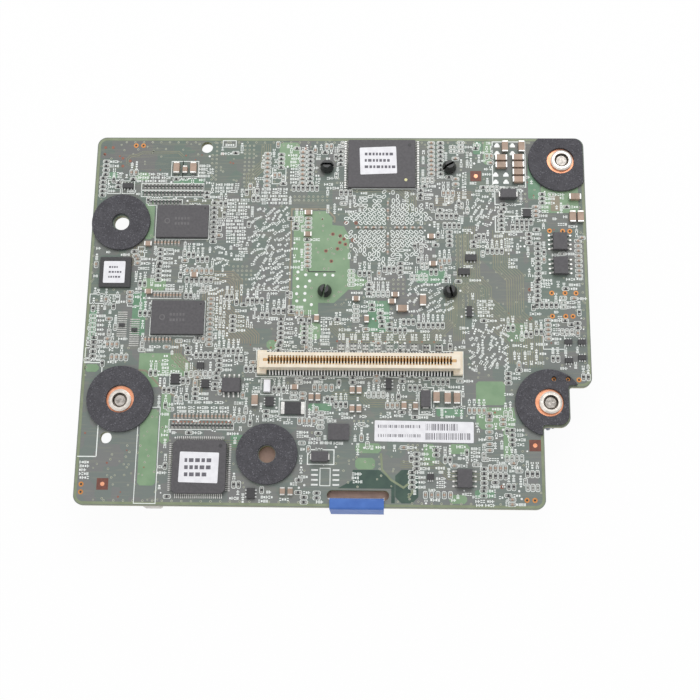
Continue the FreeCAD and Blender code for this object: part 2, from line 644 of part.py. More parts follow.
def make_knob(side):
    """The knurled thumb knob with a cup for the spring above and a seat for the screw's head below."""
    foot = "-sizes.knob_drop - sizes.knob_height"
    cup_floor = "-sizes.knob_drop - sizes.knob_cup_depth"
    seat = f"{foot} + sizes.head_sink + sizes.head_height"
    name = f"screw_knob_{side}"
    body = turned_body(f"{name}_body", [
        ("sizes.neck_radius", seat), ("sizes.head_radius", seat), ("sizes.head_radius", foot),
        ("sizes.knob_radius", foot), ("sizes.knob_radius", "-sizes.knob_drop"),
        ("sizes.knob_cup_radius", "-sizes.knob_drop"), ("sizes.knob_cup_radius", cup_floor),
        ("sizes.neck_radius", cup_floor),
    ])
    flute = new_sketch(body, "XY_Plane", f"{name}_flute", foot)
    edge, deep = "sizes.knob_radius", "sizes.flute_depth"
    add_polygon(flute, [(f"{edge} - {deep}", "0"), (f"{edge} + {deep}", f"-{deep} * 2"),
                        (f"{edge} + {deep}", f"{deep} * 2")])
    cut = pocket(body, flute, f"{name}_flute_cut", "sizes.knob_height", reverse=True)
    ring = body.newObject("PartDesign::PolarPattern", f"{name}_knurl")
    ring.Originals = [cut]
    ring.Axis = (flute, ["N_Axis"])
    ring.Angle = 360
    bind(ring, Occurrences="sizes.knob_flutes")
    body.Tip = ring
    doc.recompute()
    node(place(body, *screw_place(side)), name)


def make_slip_washer(side):
    name = f"slip_washer_{side}"
    sketch = flat_sketch(f"{name}_outline")
    add_circle(sketch, "sizes.slip_radius")
    add_circle(sketch, "sizes.neck_radius + sizes.slip_clearance")
    x, y, under = screw_place(side)
    place(sketch, x, y, f"{under} - sizes.knob_drop - sizes.knob_cup_depth + sizes.slip_clearance")
    node(extrude(name, sketch, "sizes.slip_height"), name)


def make_screw_spring(side):
    """The spring that holds the knob away from the board, seated on the slip washer."""
    foot = value("knob_drop") + value("knob_cup_depth") - value("slip_clearance") - value("slip_height")
    spring = doc.addObject("Part::Feature", f"screw_spring_{side}")
    spring.Shape = coil(value("spring_radius"), value("spring_wire"), value("spring_turns"),
                        foot - value("swage_height"))
    x = value(f"{side}_screw_x") + value(f"{side}_float_x")
    y = value(f"{side}_screw_y") + value(f"{side}_float_y")
    spring.Placement = spot(x, y, value("stand_height") - foot)
    node(spring, f"screw_spring_{side}")


# ------------------------------------------------------------------------------------ mezzanine connector
def make_mezzanine_housing():
    """Slotted housing: a long body on two end bosses, with a groove for every contact down both walls."""
    body = new_body("mezzanine_housing_body")
    bosses = new_sketch(body, "XY_Plane", "housing_bosses")
    boss_x = "(sizes.connector_length - sizes.boss_length) / 2"
    for x in (boss_x, f"-{boss_x}"):
        add_rectangle(bosses, "sizes.boss_length", "sizes.boss_width", x)
    shell = new_sketch(body, "XY_Plane", "housing_outline", "sizes.housing_foot")
    add_rectangle(shell, "sizes.housing_length", "sizes.housing_width")
    pad(body, shell, "sizes.housing_height - sizes.housing_foot", "housing_pad")
    pad(body, bosses, "sizes.boss_height", "boss_pad")
    slot = new_sketch(body, "XY_Plane", "key_slot")
    add_rectangle(slot, "sizes.key_slot_length", "sizes.key_slot_width")
    pocket(body, slot, "key_slot_cut", reverse=True)
    groove = new_sketch(body, "XY_Plane", "contact_groove")
    groove_x = "-(sizes.contact_count - 1) * sizes.contact_pitch / 2"
    groove_y = "(sizes.key_slot_width + sizes.groove_depth) / 2"
    for y in (groove_y, f"-{groove_y}"):
        add_rectangle(groove, "sizes.groove_width", "sizes.groove_depth", groove_x, y)
    cut = pocket(body, groove, "contact_groove_cut", reverse=True)
    row = body.newObject("PartDesign::LinearPattern", "contact_grooves")
    row.Originals = [cut]
    row.Direction = (groove, ["H_Axis"])
    bind(row, Length="(sizes.contact_count - 1) * sizes.contact_pitch", Occurrences="sizes.contact_count")
    body.Tip = row
    doc.recompute()
    node(place(body, "sizes.connector_x", "sizes.connector_y", FACE), "mezzanine_housing")


def make_mezzanine_contacts():
    """Contacts bent from strip: a leaning beam in the groove, a run under the wall and a soldered tail."""
    sketch = doc.addObject("Sketcher::SketchObject", "mezzanine_contact_profile")
    sketch.Placement = FreeCAD.Placement(FreeCAD.Vector(), UPRIGHT_YZ)
    doc.recompute()
    thick = "sizes.contact_thickness"
    near = "sizes.key_slot_width / 2 + sizes.beam_inset"
    run = "sizes.tail_height"
    add_polygon(sketch, [
        (near, f"{run} - {thick} / 2"), ("sizes.tail_knee", f"{run} - {thick} / 2"),
        ("sizes.tail_reach", "0"),
        ("sizes.tail_reach", thick), (f"sizes.tail_knee + {thick} / 2", f"{run} + {thick} / 2"),
        (f"{near} + {thick}", f"{run} + {thick} / 2"),
        (f"{near} + {thick} + sizes.beam_lean", "sizes.beam_height"),
        (f"{near} + sizes.beam_lean", "sizes.beam_height"),
    ])
    half = "sizes.contact_width / 2"
    contact = extrude("mezzanine_contact", sketch, half, half, X_AXIS)
    doc.recompute()
    total, pitch = count("contact_count"), value("contact_pitch")
    spots = []
    for turn in (0, 180):
        for i in range(total):
            x = (i - (total - 1) / 2) * pitch
            spots.append(FreeCAD.Placement(FreeCAD.Vector(x, 0, 0), FreeCAD.Rotation(Z_AXIS, turn)))
    face = value("stand_height") + value("board_thickness")
    copies("mezzanine_contacts", contact.Shape, spots, spot(value("connector_x"), value("connector_y"), face))


# ------------------------------------------------------------------------------------ chips with leads
def gull_wing(name, reach, height, width):
    """One formed lead, from the chip's side wall at y = 0 outwards to its foot on the board."""
    sketch = doc.addObject("Sketcher::SketchObject", f"{name}_profile")
    sketch.Placement = FreeCAD.Placement(FreeCAD.Vector(), UPRIGHT_YZ)
    doc.recompute()
    thick = "sizes.lead_thickness"
    heel = f"({reach} - sizes.lead_foot)"
    add_polygon(sketch, [
        ("0", f"{height} - {thick} / 2"), (f"{heel} - {thick} / 2", "0"), (reach, "0"), (reach, thick),
        (heel, thick), ("0", f"{height} + {thick} / 2"),
    ])
    return extrude(name, sketch, f"{width} / 2", f"{width} / 2", X_AXIS)


def lead_rows(total, pitch, half_span, turns):
    """Local placements of leads in rows on the chip's sides, each side turned from the +Y side."""
    spots = []
    for turn in turns:
        side = FreeCAD.Rotation(Z_AXIS, turn)
        for i in range(total):
            start = side.multVec(FreeCAD.Vector((i - (total - 1) / 2) * pitch, half_span, 0))
            spots.append(FreeCAD.Placement(start, side))
    return spots


def make_label(name, x, y, height, length, width, turn=None):
    sketch = flat_sketch(f"{name}_outline")
    add_rounded_rectangle(sketch, length, width, "sizes.label_thickness * 3")
    place(sketch, x, y, height, turn)
    node(extrude(name, sketch, "sizes.label_thickness"), name)


def make_flash():
    outline = ("sizes.flash_length", "sizes.flash_width")
    chip = moulded_block("flash_chip", lambda sketch: add_rectangle(sketch, *outline), "sizes.flash_x",
                         "sizes.flash_y", "sizes.body_gap", "sizes.flash_height + sizes.body_gap")
    node(chip, "flash_chip")
    lead = gull_wing("flash_lead", "(sizes.flash_span - sizes.flash_length) / 2",
                     "sizes.body_gap + sizes.flash_height / 2", "sizes.fine_lead_width")
    doc.recompute()
    rows = lead_rows(count("flash_lead_count"), value("fine_pitch"), value("flash_length") / 2, (90, -90))
    face = value("stand_height") + value("board_thickness")
    copies("flash_leads", lead.Shape, rows, spot(value("flash_x"), value("flash_y"), face))
    make_label("flash_label", "sizes.flash_label_x", "sizes.flash_label_y",
               f"{FACE} + sizes.body_gap + sizes.flash_height", "sizes.flash_label_length",
               "sizes.flash_label_width", "sizes.flash_label_turn")


def draw_cut_corners(sketch, side, cut):
    """Adds a square with its corners cut off at 45 degrees."""
    far, near = f"{side} / 2", f"({side} / 2 - {cut})"
    add_polygon(sketch, [
        (far, f"-{near}"), (far, near), (near, far), (f"-{near}", far), (f"-{far}", near),
        (f"-{far}", f"-{near}"), (f"-{near}", f"-{far}"), (near, f"-{far}"),
    ])


def make_logic():
    chip = moulded_block("logic_chip", lambda sketch: draw_cut_corners(sketch, "sizes.logic_side",
                         "sizes.logic_corner_cut"), "sizes.logic_x", "sizes.logic_y", "sizes.body_gap",
                         "sizes.logic_height + sizes.body_gap")
    node(chip, "logic_chip")
    lead = gull_wing("logic_lead", "(sizes.logic_span - sizes.logic_side) / 2",
                     "sizes.body_gap + sizes.logic_height / 2", "sizes.fine_lead_width")
    doc.recompute()
    rows = lead_rows(count("logic_lead_count"), value("fine_pitch"), value("logic_side") / 2,
                     (0, 90, 180, 270))
    face = value("stand_height") + value("board_thickness")
    copies("logic_leads", lead.Shape, rows, spot(value("logic_x"), value("logic_y"), face))
    make_label("logic_label", "sizes.logic_label_x", "sizes.logic_label_y",
               f"{FACE} + sizes.body_gap + sizes.logic_height", "sizes.logic_label_length",
               "sizes.logic_label_width", "sizes.logic_label_turn")


def make_memory():
    """Cache chips: two on the mating face and three under them on the component side."""
    def chip(name, y, base, down):
        z = f"{base} - sizes.memory_height" if down else base
        return box(name, "sizes.memory_x", y, z, "sizes.memory_length", "sizes.memory_width",
                   "sizes.memory_height")
    face_chips = [chip(f"memory_chip_{row}", f"sizes.memory_{row}_y", FACE, False)
                  for row in ("front", "rear")]
    node(compound("memory_chips", face_chips), "memory_chips")
    rows = ("front", "middle", "rear")
    under_chips = [chip(f"under_chip_{row}", f"sizes.memory_{row}_y", UNDER, True) for row in rows]
    node(compound("component_side_memory", under_chips), "component_side_memory")


def make_flat_chips():
    """Leadless chips: the labelled side controller and the power chip."""
    side = box("side_controller", "sizes.side_chip_x", "sizes.side_chip_y", FACE, "sizes.side_chip_side",
               "sizes.side_chip_side", "sizes.side_chip_height")
    node(side, "side_controller")
    make_label("side_label", "sizes.side_label_x", "sizes.side_label_y", f"{FACE} + sizes.side_chip_height",
               "sizes.side_label_length", "sizes.side_label_width")
    node(box("power_chip", "sizes.power_chip_x", "sizes.power_chip_y", FACE, "sizes.power_chip_length",
             "sizes.power_chip_width", "sizes.power_chip_height"), "power_chip")


def make_buffers():
    """Small-outline chips with four leads on each long side."""
    chips = []
    spots = []
    lead = gull_wing("buffer_lead", "(sizes.buffer_span - sizes.buffer_width) / 2",
                     "sizes.body_gap + sizes.buffer_height / 2", "sizes.buffer_lead_width")
    doc.recompute()
    for table, outline, turns in (
        (BUFFERS_ACROSS, ("sizes.buffer_width", "sizes.buffer_length"), (90, -90)),
        (BUFFERS_ALONG, ("sizes.buffer_length", "sizes.buffer_width"), (0, 180)),
    ):
        for name in table:
            chips.append(moulded_block(name, lambda sketch, drawn=outline: add_rectangle(sketch, *drawn),
                                       f"sizes.{name}_x", f"sizes.{name}_y", "sizes.body_gap",
                                       "sizes.buffer_height + sizes.body_gap"))
            middle = FreeCAD.Placement(FreeCAD.Vector(value(f"{name}_x"), value(f"{name}_y"), 0),
                                       FreeCAD.Rotation())
            rows = lead_rows(count("buffer_lead_count"), value("buffer_pitch"), value("buffer_width") / 2,
                             turns)
            spots += [middle.multiply(local) for local in rows]
    node(compound("buffer_chips", chips), "buffer_chips")
    copies("buffer_leads", lead.Shape, spots, spot(0, 0, value("stand_height") + value("board_thickness")))


def make_small_chips():
    """Gates, sensors and the clock chip: small moulded bodies standing on the board."""
    chips = []
    for name in SMALL_CHIPS:
        chips.append(box(name, f"sizes.{name}_x", f"sizes.{name}_y", FACE, f"sizes.{name}_length",
                         f"sizes.{name}_width", "sizes.side_chip_height"))
    node(compound("small_chips", chips), "small_chips")


# ------------------------------------------------------------------------------------ passive parts
def two_ended(name, x, y, along, length, width, height, end, parts, ends, end_width=None, end_height=None,
              reach="0"):
    """A part with a metal cap at each end; along says that it lies along Y instead of X."""
    end_width = end_width or width
    end_height = end_height or height
    middle = f"({length} - 2 * {end})"
    offset = f"({length} - {end}) / 2 + {reach} / 2"
    cap = f"({end} + {reach})"
    if along:
        parts.append(box(name, x, y, FACE, width, middle, height))
        ends.append(box(f"{name}_front_end", x, f"{y} - ({offset})", FACE, end_width, cap, end_height))
        ends.append(box(f"{name}_rear_end", x, f"{y} + ({offset})", FACE, end_width, cap, end_height))
    else:
        parts.append(box(name, x, y, FACE, middle, width, height))
        ends.append(box(f"{name}_left_end", f"{x} - ({offset})", y, FACE, cap, end_width, end_height))
        ends.append(box(f"{name}_right_end", f"{x} + ({offset})", y, FACE, cap, end_width, end_height))


def make_capacitors():
    bodies, ends = [], []
    for table, case, along in (
        (LARGE_CASES_ALONG, "large", True), (LARGE_CASES_ACROSS, "large", False),
        (SMALL_CASES_ALONG, "small", True), (SMALL_CASES_ACROSS, "small", False),
    ):
        for name in table:
            two_ended(name, f"sizes.{name}_x", f"sizes.{name}_y", along, f"sizes.{case}_case_length",
                      f"sizes.{case}_case_width", f"sizes.{case}_case_height", "sizes.case_end", bodies, ends)
    node(compound("capacitors", bodies), "capacitors")
    node(compound("capacitor_ends", ends), "capacitor_ends")


def make_sense_resistor():
    bodies, ends = [], []
    two_ended("sense_element", "sizes.sense_x", "sizes.sense_y", False, "sizes.sense_length",
              "sizes.sense_width", "sizes.sense_height", "sizes.sense_end", bodies, ends)
    node(bodies[0], "sense_resistor")
    node(compound("sense_resistor_ends", ends), "sense_resistor_ends")


def make_diodes():
    bodies, ends = [], []
    for table, along in ((DIODES_ACROSS, False), (DIODES_ALONG, True)):
        for name in table:
            two_ended(name, f"sizes.{name}_x", f"sizes.{name}_y", along, "sizes.diode_length",
                      "sizes.diode_width", "sizes.diode_height", "0", bodies, ends,
                      "sizes.diode_end_width", "sizes.diode_end_height", "sizes.diode_end_reach")
    node(compound("diodes", bodies), "diodes")
    node(compound("diode_ends", ends), "diode_ends")


# ------------------------------------------------------------------------------------ pull tab
def make_pull_tab():
    """Film ribbon: up through the slot, over the board's front strip and down, its legs joined below.

    The profile runs from the board's front edge at y = 0 and the underside at z = 0.
    """
    body = new_body("pull_tab_body")
    profile = new_sketch(body, "YZ_Plane", "tab_profile", "-sizes.tab_width / 2")
    thick, gap = "sizes.tab_thickness", "sizes.tab_gap"
    inner_leg = f"(sizes.tab_slot_y - sizes.tab_slot_width / 2 + {gap})"
    top = f"sizes.board_thickness + {gap}"
    join = "-sizes.tab_join_drop"
    add_polygon(profile, [
        (f"-{gap} - {thick}", "-sizes.tab_drop"), (f"{thick} - {gap}", "-sizes.tab_drop"),
        (f"{thick} - {gap}", f"{join} - {thick}"), (f"{inner_leg} + {thick}", "-sizes.tab_inner_drop"),
        (f"{inner_leg} + {thick}", f"{top} + {thick}"), (f"-{gap} - {thick}", f"{top} + {thick}"),
    ])
    pad(body, profile, "sizes.tab_width", "tab_pad")
    hollow = new_sketch(body, "YZ_Plane", "tab_hollow", "-sizes.tab_width / 2")
    fold = "sizes.tab_fold_rise - sizes.tab_inner_drop"
    add_polygon(hollow, [(f"-{gap}", join), (inner_leg, fold), (inner_leg, top), (f"-{gap}", top)])
    cut = pocket(body, hollow, "tab_hollow_cut", reverse=True)
    crest = value("board_thickness") + value("tab_gap") + value("tab_thickness")

    def on_crest(edge):
        ends = [vertex.Point for vertex in edge.Vertexes]
        level = all(abs(point.z - crest) < 1e-6 for point in ends)
        return level and abs(ends[0].x - ends[-1].x) > value("tab_width") / 2
    round_edges(body, cut, "sizes.tab_bend", on_crest, "tab_bends")
    node(place(body, "sizes.tab_x", "0", UNDER), "pull_tab")


# ------------------------------------------------------------------------------------ component side
def sink_bottom():
    """Depth of the heat sink's base below the board's underside, as an expression."""
    return "(sizes.processor_board + sizes.lid_height + sizes.pad_height)"


def make_processor():
    body = new_body("raid_processor_body")
    board = new_sketch(body, "XY_Plane", "processor_board_outline")
    add_rectangle(board, "sizes.processor_side", "sizes.processor_side")
    pad(body, board, "sizes.processor_board", "processor_board_pad", down=True)
    lid = new_sketch(body, "XY_Plane", "processor_lid_outline", "-sizes.processor_board")
    add_rounded_rectangle(lid, "sizes.lid_side", "sizes.lid_side", "sizes.lid_radius")
    pad(body, lid, "sizes.lid_height", "processor_lid_pad", down=True)
    node(place(body, "sizes.sink_x", "sizes.sink_y", UNDER), "raid_processor")
    top = f"{UNDER} - {sink_bottom()}"
    node(box("thermal_pad", "sizes.sink_x", "sizes.sink_y", top, "sizes.pad_side", "sizes.pad_side",
             "sizes.pad_height"), "thermal_pad")


def make_heat_sink():
    """Extruded sink standing upside down: base up against the processor, fins down to the rest plane."""
    body = new_body("heat_sink_body")
    base = new_sketch(body, "XY_Plane", "sink_base_outline")
    add_rectangle(base, "sizes.sink_width", "sizes.sink_depth")
    pad(body, base, "sizes.sink_base", "sink_base_pad", down=True)
    fin = new_sketch(body, "XY_Plane", "sink_fin_outline", "-sizes.sink_base")
    fin_x = "-(sizes.sink_width - sizes.fin_thickness) / 2"
    add_rectangle(fin, "sizes.fin_thickness", "sizes.sink_depth", fin_x)
    fin_height = f"sizes.stand_height - {sink_bottom()} - sizes.sink_base"
    first = pad(body, fin, fin_height, "sink_fin_pad", down=True)
    row = body.newObject("PartDesign::LinearPattern", "sink_fins")
    row.Originals = [first]
    row.Direction = (fin, ["H_Axis"])
    bind(row, Length="sizes.sink_width - sizes.fin_thickness", Occurrences="sizes.fin_count")
    body.Tip = row
    doc.recompute()
    corners = new_sketch(body, "XY_Plane", "sink_corner_cuts", "-sizes.sink_base")
    holes = new_sketch(body, "XY_Plane", "sink_pin_holes")
    margin = "sizes.fin_corner_cut"
    for x_side in ("-", ""):
        for y_side in ("-", ""):
            add_rectangle(corners, margin, margin, f"{x_side}(sizes.sink_width - {margin}) / 2",
                          f"{y_side}(sizes.sink_depth - {margin}) / 2")
            add_circle(holes, "sizes.pin_hole_radius", f"{x_side}sizes.pin_spacing_x / 2",
                       f"{y_side}sizes.pin_spacing_y / 2")
    pocket(body, corners, "sink_corner_cut")
    pocket(body, holes, "sink_pin_hole_cut")
    node(place(body, "sizes.sink_x", "sizes.sink_y", f"{UNDER} - {sink_bottom()}"), "heat_sink")


def make_push_pins():
    """Split plastic pins that hold the sink: head below its base, barbs above the board."""
    shank = "sizes.pin_hole_radius - sizes.pin_clearance"
    base_foot = f"-({sink_bottom()} + sizes.sink_base)"
    head_top = f"{base_foot} - sizes.pin_spring_length"
    head_foot = f"{head_top} - sizes.pin_head_height"
    face = "sizes.board_thickness"
    tip = f"{face} + sizes.pin_barb_height"
    pin = turned_body("push_pin", [
        ("0", head_foot), ("sizes.pin_head_radius", head_foot), ("sizes.pin_head_radius", head_top),
        (shank, head_top), (shank, f"{face} + sizes.pin_clearance"),
        ("sizes.pin_barb_radius", f"{face} + sizes.pin_barb_height / 3"), ("sizes.pin_tip_radius", tip),
        ("0", tip),
    ])
    slit = new_sketch(pin, "XY_Plane", "push_pin_slit", tip)
    add_rectangle(slit, "sizes.pin_barb_radius * 3", "sizes.pin_slit")
    pocket(pin, slit, "push_pin_slit_cut", "sizes.pin_barb_height + sizes.board_thickness")
    spring = coil(value("pin_spring_radius"), value("pin_spring_wire"), value("pin_spring_turns"),
                  value("pin_spring_length"))
    pin_spots, spring_spots = [], []
    spring_foot = number_of(pin, head_top)
    turn = value("pin_turn")
    for column in (-0.5, 0.5):
        for row in (-0.5, 0.5):
            corner = FreeCAD.Vector(column * value("pin_spacing_x"), row * value("pin_spacing_y"), 0)
            angle = turn * (1 + 4 * column + 2 * row)
            pin_spots.append(FreeCAD.Placement(corner, FreeCAD.Rotation(Z_AXIS, angle)))
            spring_spots.append(FreeCAD.Placement(corner + Z_AXIS * spring_foot, FreeCAD.Rotation()))
    middle = spot(value("sink_x"), value("sink_y"), value("stand_height"))
    copies("push_pins", pin.Shape, pin_spots, middle)
    copies("push_pin_springs", spring, spring_spots, middle)


def make_port(side, turn_name):
    """An upright drive port: a sheet-metal shell round a slotted core with contacts on both slot walls."""
    x, y = f"sizes.port_{side}_x", f"sizes.port_{side}_y"
    wall = "sizes.port_wall"
    shell = new_body(f"{turn_name}_shell_body")
    outline = new_sketch(shell, "XY_Plane", f"{turn_name}_shell_outline")
    add_rounded_rectangle(outline, "sizes.port_width", "sizes.port_length", "sizes.port_corner")
    pad(shell, outline, "sizes.stand_height", f"{turn_name}_shell_pad")
    inner = new_sketch(shell, "XY_Plane", f"{turn_name}_shell_inner")
    add_rounded_rectangle(inner, f"(sizes.port_width - 2 * {wall})", f"(sizes.port_length - 2 * {wall})",
                          f"sizes.port_corner - {wall}")
    pocket(shell, inner, f"{turn_name}_shell_bore", reverse=True)
    windows = new_sketch(shell, "YZ_Plane", f"{turn_name}_latch_windows")
    for sign in ("-", ""):
        add_rectangle(windows, "sizes.port_window_length", "sizes.port_window_height",
                      f"{sign}sizes.port_window_spacing / 2", "sizes.port_window_drop")
    pocket(shell, windows, f"{turn_name}_window_cut", "sizes.port_width * 2", both_ways=True)
    node(place(shell, x, y, "0"), f"{turn_name}_shell")
    core = new_body(f"{turn_name}_core_body")
    block = new_sketch(core, "XY_Plane", f"{turn_name}_core_outline", "sizes.port_core_sink")
    margin = f"2 * ({wall} + sizes.port_core_gap)"
    add_rounded_rectangle(block, f"(sizes.port_width - {margin})", f"(sizes.port_length - {margin})",
                          f"sizes.port_corner - {wall}")
    pad(core, block, "sizes.stand_height - sizes.port_core_sink", f"{turn_name}_core_pad")
    slot = new_sketch(core, "XY_Plane", f"{turn_name}_core_slot", "sizes.port_core_sink")
    add_rectangle(slot, "sizes.port_slot_width", "sizes.port_slot_length")
    pocket(core, slot, f"{turn_name}_core_slot_cut", "sizes.port_slot_depth", reverse=True)
    node(place(core, x, y, "0"), f"{turn_name}_core")


def make_port_contacts():
    """Contacts of both ports, standing against the walls of their slots."""
    contact = doc.addObject("Part::Box", "port_contact")
    bind(contact, Length="sizes.port_contact_thickness", Width="sizes.port_contact_width",
         Height="sizes.port_contact_length")
    doc.recompute()
    total, pitch = count("port_contact_count"), value("port_contact_pitch")
    floor = value("port_core_sink") + value("port_slot_depth") - value("port_contact_length")
    wall_x = value("port_slot_width") / 2
    spots = []
    for side in ("left", "front"):
        x, y = value(f"port_{side}_x"), value(f"port_{side}_y")
        for near in (x - wall_x, x + wall_x - value("port_contact_thickness")):
            for i in range(total):
                along = y + (i - (total - 1) / 2) * pitch - value("port_contact_width") / 2
                spots.append(FreeCAD.Placement(FreeCAD.Vector(near, along, floor), FreeCAD.Rotation()))
    copies("port_contacts", contact.Shape, spots, spot(0, 0, 0))


def make_power_filter():
    """Shielded coils and polymer capacitors on the component side."""
    coils = []
    for row in ("front", "rear"):
        sketch = flat_sketch(f"coil_{row}_outline")
        draw_cut_corners(sketch, "sizes.coil_side", "sizes.coil_corner_cut")
        place(sketch, "sizes.coil_x", f"sizes.coil_{row}_y", UNDER)
        coils.append(extrude(f"coil_{row}", sketch, "0", "sizes.coil_height"))
    node(compound("filter_coils", coils), "filter_coils")
    capacitors = []
    for i in range(3):
        y = f"sizes.polymer_front_y + {i} * sizes.polymer_pitch_y"
        capacitors.append(box(f"polymer_{i}", "sizes.polymer_x", y, f"{UNDER} - sizes.polymer_height",
                              "sizes.polymer_length", "sizes.polymer_width", "sizes.polymer_height"))
    node(compound("polymer_capacitors", capacitors), "polymer_capacitors")


# ------------------------------------------------------------------------------------ build and write
def build():
    add_places()
    fill_sheet()
    doc.recompute()
    make_board()
    make_standoff_washers()
    make_screw_washers()
    make_retainers()
    for side in SCREWS:
        make_screw(side)
        make_knob(side)
        make_slip_washer(side)
        make_screw_spring(side)
    make_mezzanine_housing()
    make_mezzanine_contacts()
    make_flash()
    make_logic()
    make_memory()
    make_flat_chips()
    make_buffers()
    make_small_chips()
    make_capacitors()
    make_sense_resistor()
    make_diodes()
    make_label("serial_label", "sizes.serial_x", "sizes.serial_y", FACE, "sizes.serial_length",
               "sizes.serial_width", "sizes.serial_turn")
    make_pull_tab()
    make_processor()
    make_heat_sink()
    make_push_pins()
    make_port("left", "left_port")
    make_port("front", "front_port")
    make_port_contacts()
    make_power_filter()
    doc.recompute()


def check():
    """Stops if any object failed, or if a sub-part has no valid solid."""
    for item in doc.Objects:
        if "Invalid" in item.State or "Error" in item.State:
            raise RuntimeError(f"{item.Name} failed: {item.State}")
    for item in nodes:
        if item.Shape.isNull() or not item.Shape.isValid() or not item.Shape.Solids:
            raise RuntimeError(f"{item.Label} has no valid solid")


def write():
    os.makedirs("parts", exist_ok=True)
    for item in nodes:
        item.Shape.exportStep(f"parts/{item.Label}.step")


build()
check()
write()
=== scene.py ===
import math
import random

import bpy
from mathutils import Matrix, Vector


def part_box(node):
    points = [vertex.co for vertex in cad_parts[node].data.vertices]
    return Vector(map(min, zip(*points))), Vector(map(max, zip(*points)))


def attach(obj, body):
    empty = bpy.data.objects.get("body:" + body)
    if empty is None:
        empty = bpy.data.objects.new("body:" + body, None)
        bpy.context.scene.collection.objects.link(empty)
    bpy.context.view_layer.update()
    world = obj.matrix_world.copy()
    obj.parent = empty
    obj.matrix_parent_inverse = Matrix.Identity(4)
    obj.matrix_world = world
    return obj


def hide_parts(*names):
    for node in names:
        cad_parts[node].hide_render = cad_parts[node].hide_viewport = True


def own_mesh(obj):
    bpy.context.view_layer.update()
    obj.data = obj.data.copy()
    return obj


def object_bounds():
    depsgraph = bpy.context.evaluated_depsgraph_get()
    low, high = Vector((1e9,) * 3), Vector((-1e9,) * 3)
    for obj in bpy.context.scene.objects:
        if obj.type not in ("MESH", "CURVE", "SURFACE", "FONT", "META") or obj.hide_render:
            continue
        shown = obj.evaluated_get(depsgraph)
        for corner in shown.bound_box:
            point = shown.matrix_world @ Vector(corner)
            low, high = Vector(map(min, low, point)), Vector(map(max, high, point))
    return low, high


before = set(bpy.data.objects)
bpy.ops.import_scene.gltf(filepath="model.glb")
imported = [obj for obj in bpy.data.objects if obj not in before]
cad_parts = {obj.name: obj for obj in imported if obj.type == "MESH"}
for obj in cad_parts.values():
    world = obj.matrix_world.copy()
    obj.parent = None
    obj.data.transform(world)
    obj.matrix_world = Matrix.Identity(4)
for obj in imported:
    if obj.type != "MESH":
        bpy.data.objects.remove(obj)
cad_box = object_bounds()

# Raid controller card: looks, small parts, silkscreen, floor, light and camera.
#
# Board places are in millimetres from the board's left and front edges; heights are from the mating face
# up, or, for pieces on the component side, from the underside down.

MM = 0.001
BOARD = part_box("circuit_board")
LEFT, FRONT, UNDER = BOARD[0]
REAR, FACE = BOARD[1][1:]
WIDTH = (BOARD[1][0] - LEFT) / MM
DEPTH = (REAR - FRONT) / MM

SUNK = -0.02            # the thin layers start inside the board, and these are their heights
POUR_TOP = 0.02
TRACK_TOP = 0.03
SILK_TOP = 0.045
PAD_TOP = 0.07
FINE = 0.2              # silkscreen line widths
BOLD = 0.28
OUTLINE = 0.15
GLYPH = 0.64            # pitch of the small print
LAND_PITCH = 3.2        # pitch of the small lands behind the connector
PALE, DARK, BARE = "ceramic", "chip_dark", "bare"       # what the tiny parts' bodies are
CONTACTS, CONTACT_WIDTH, GROOVE = 60, 0.32, 0.42         # in each of the connector's rows
SCREW_SIDES = ("left", "right", "rear")
SPRING_WIRE, SPRING_TURNS, DEAD_TURN = 0.36, 4.5, 0.6    # the last is what lies flat at each end
SPRING_STEPS, WIRE_SIDES = 32, 10
BLACK, WHITE = (0, 0, 0, 1), (1, 1, 1, 1)


# ------------------------ colours and shaders
def linear(red, green, blue):
    """A colour written 0 to 255, as the shader's linear values."""
    def one(level):
        level /= 255
        return level / 12.92 if level <= 0.04045 else ((level + 0.055) / 1.055) ** 2.4
    return (one(red), one(green), one(blue), 1.0)


def feed(tree, socket, source):
    """Gives a node's input a value, or joins it to another node's output."""
    if isinstance(source, bpy.types.NodeSocket):
        tree.links.new(source, socket)
    else:
        socket.default_value = source


def add_node(tree, kind, inputs, **settings):
    """A shader node with its settings, and with its inputs fed by name or number."""
    node = tree.nodes.new("ShaderNode" + kind)
    for name, setting in settings.items():
        setattr(node, name, setting)
    for name, source in inputs.items():
        feed(tree, node.inputs[name], source)
    return node


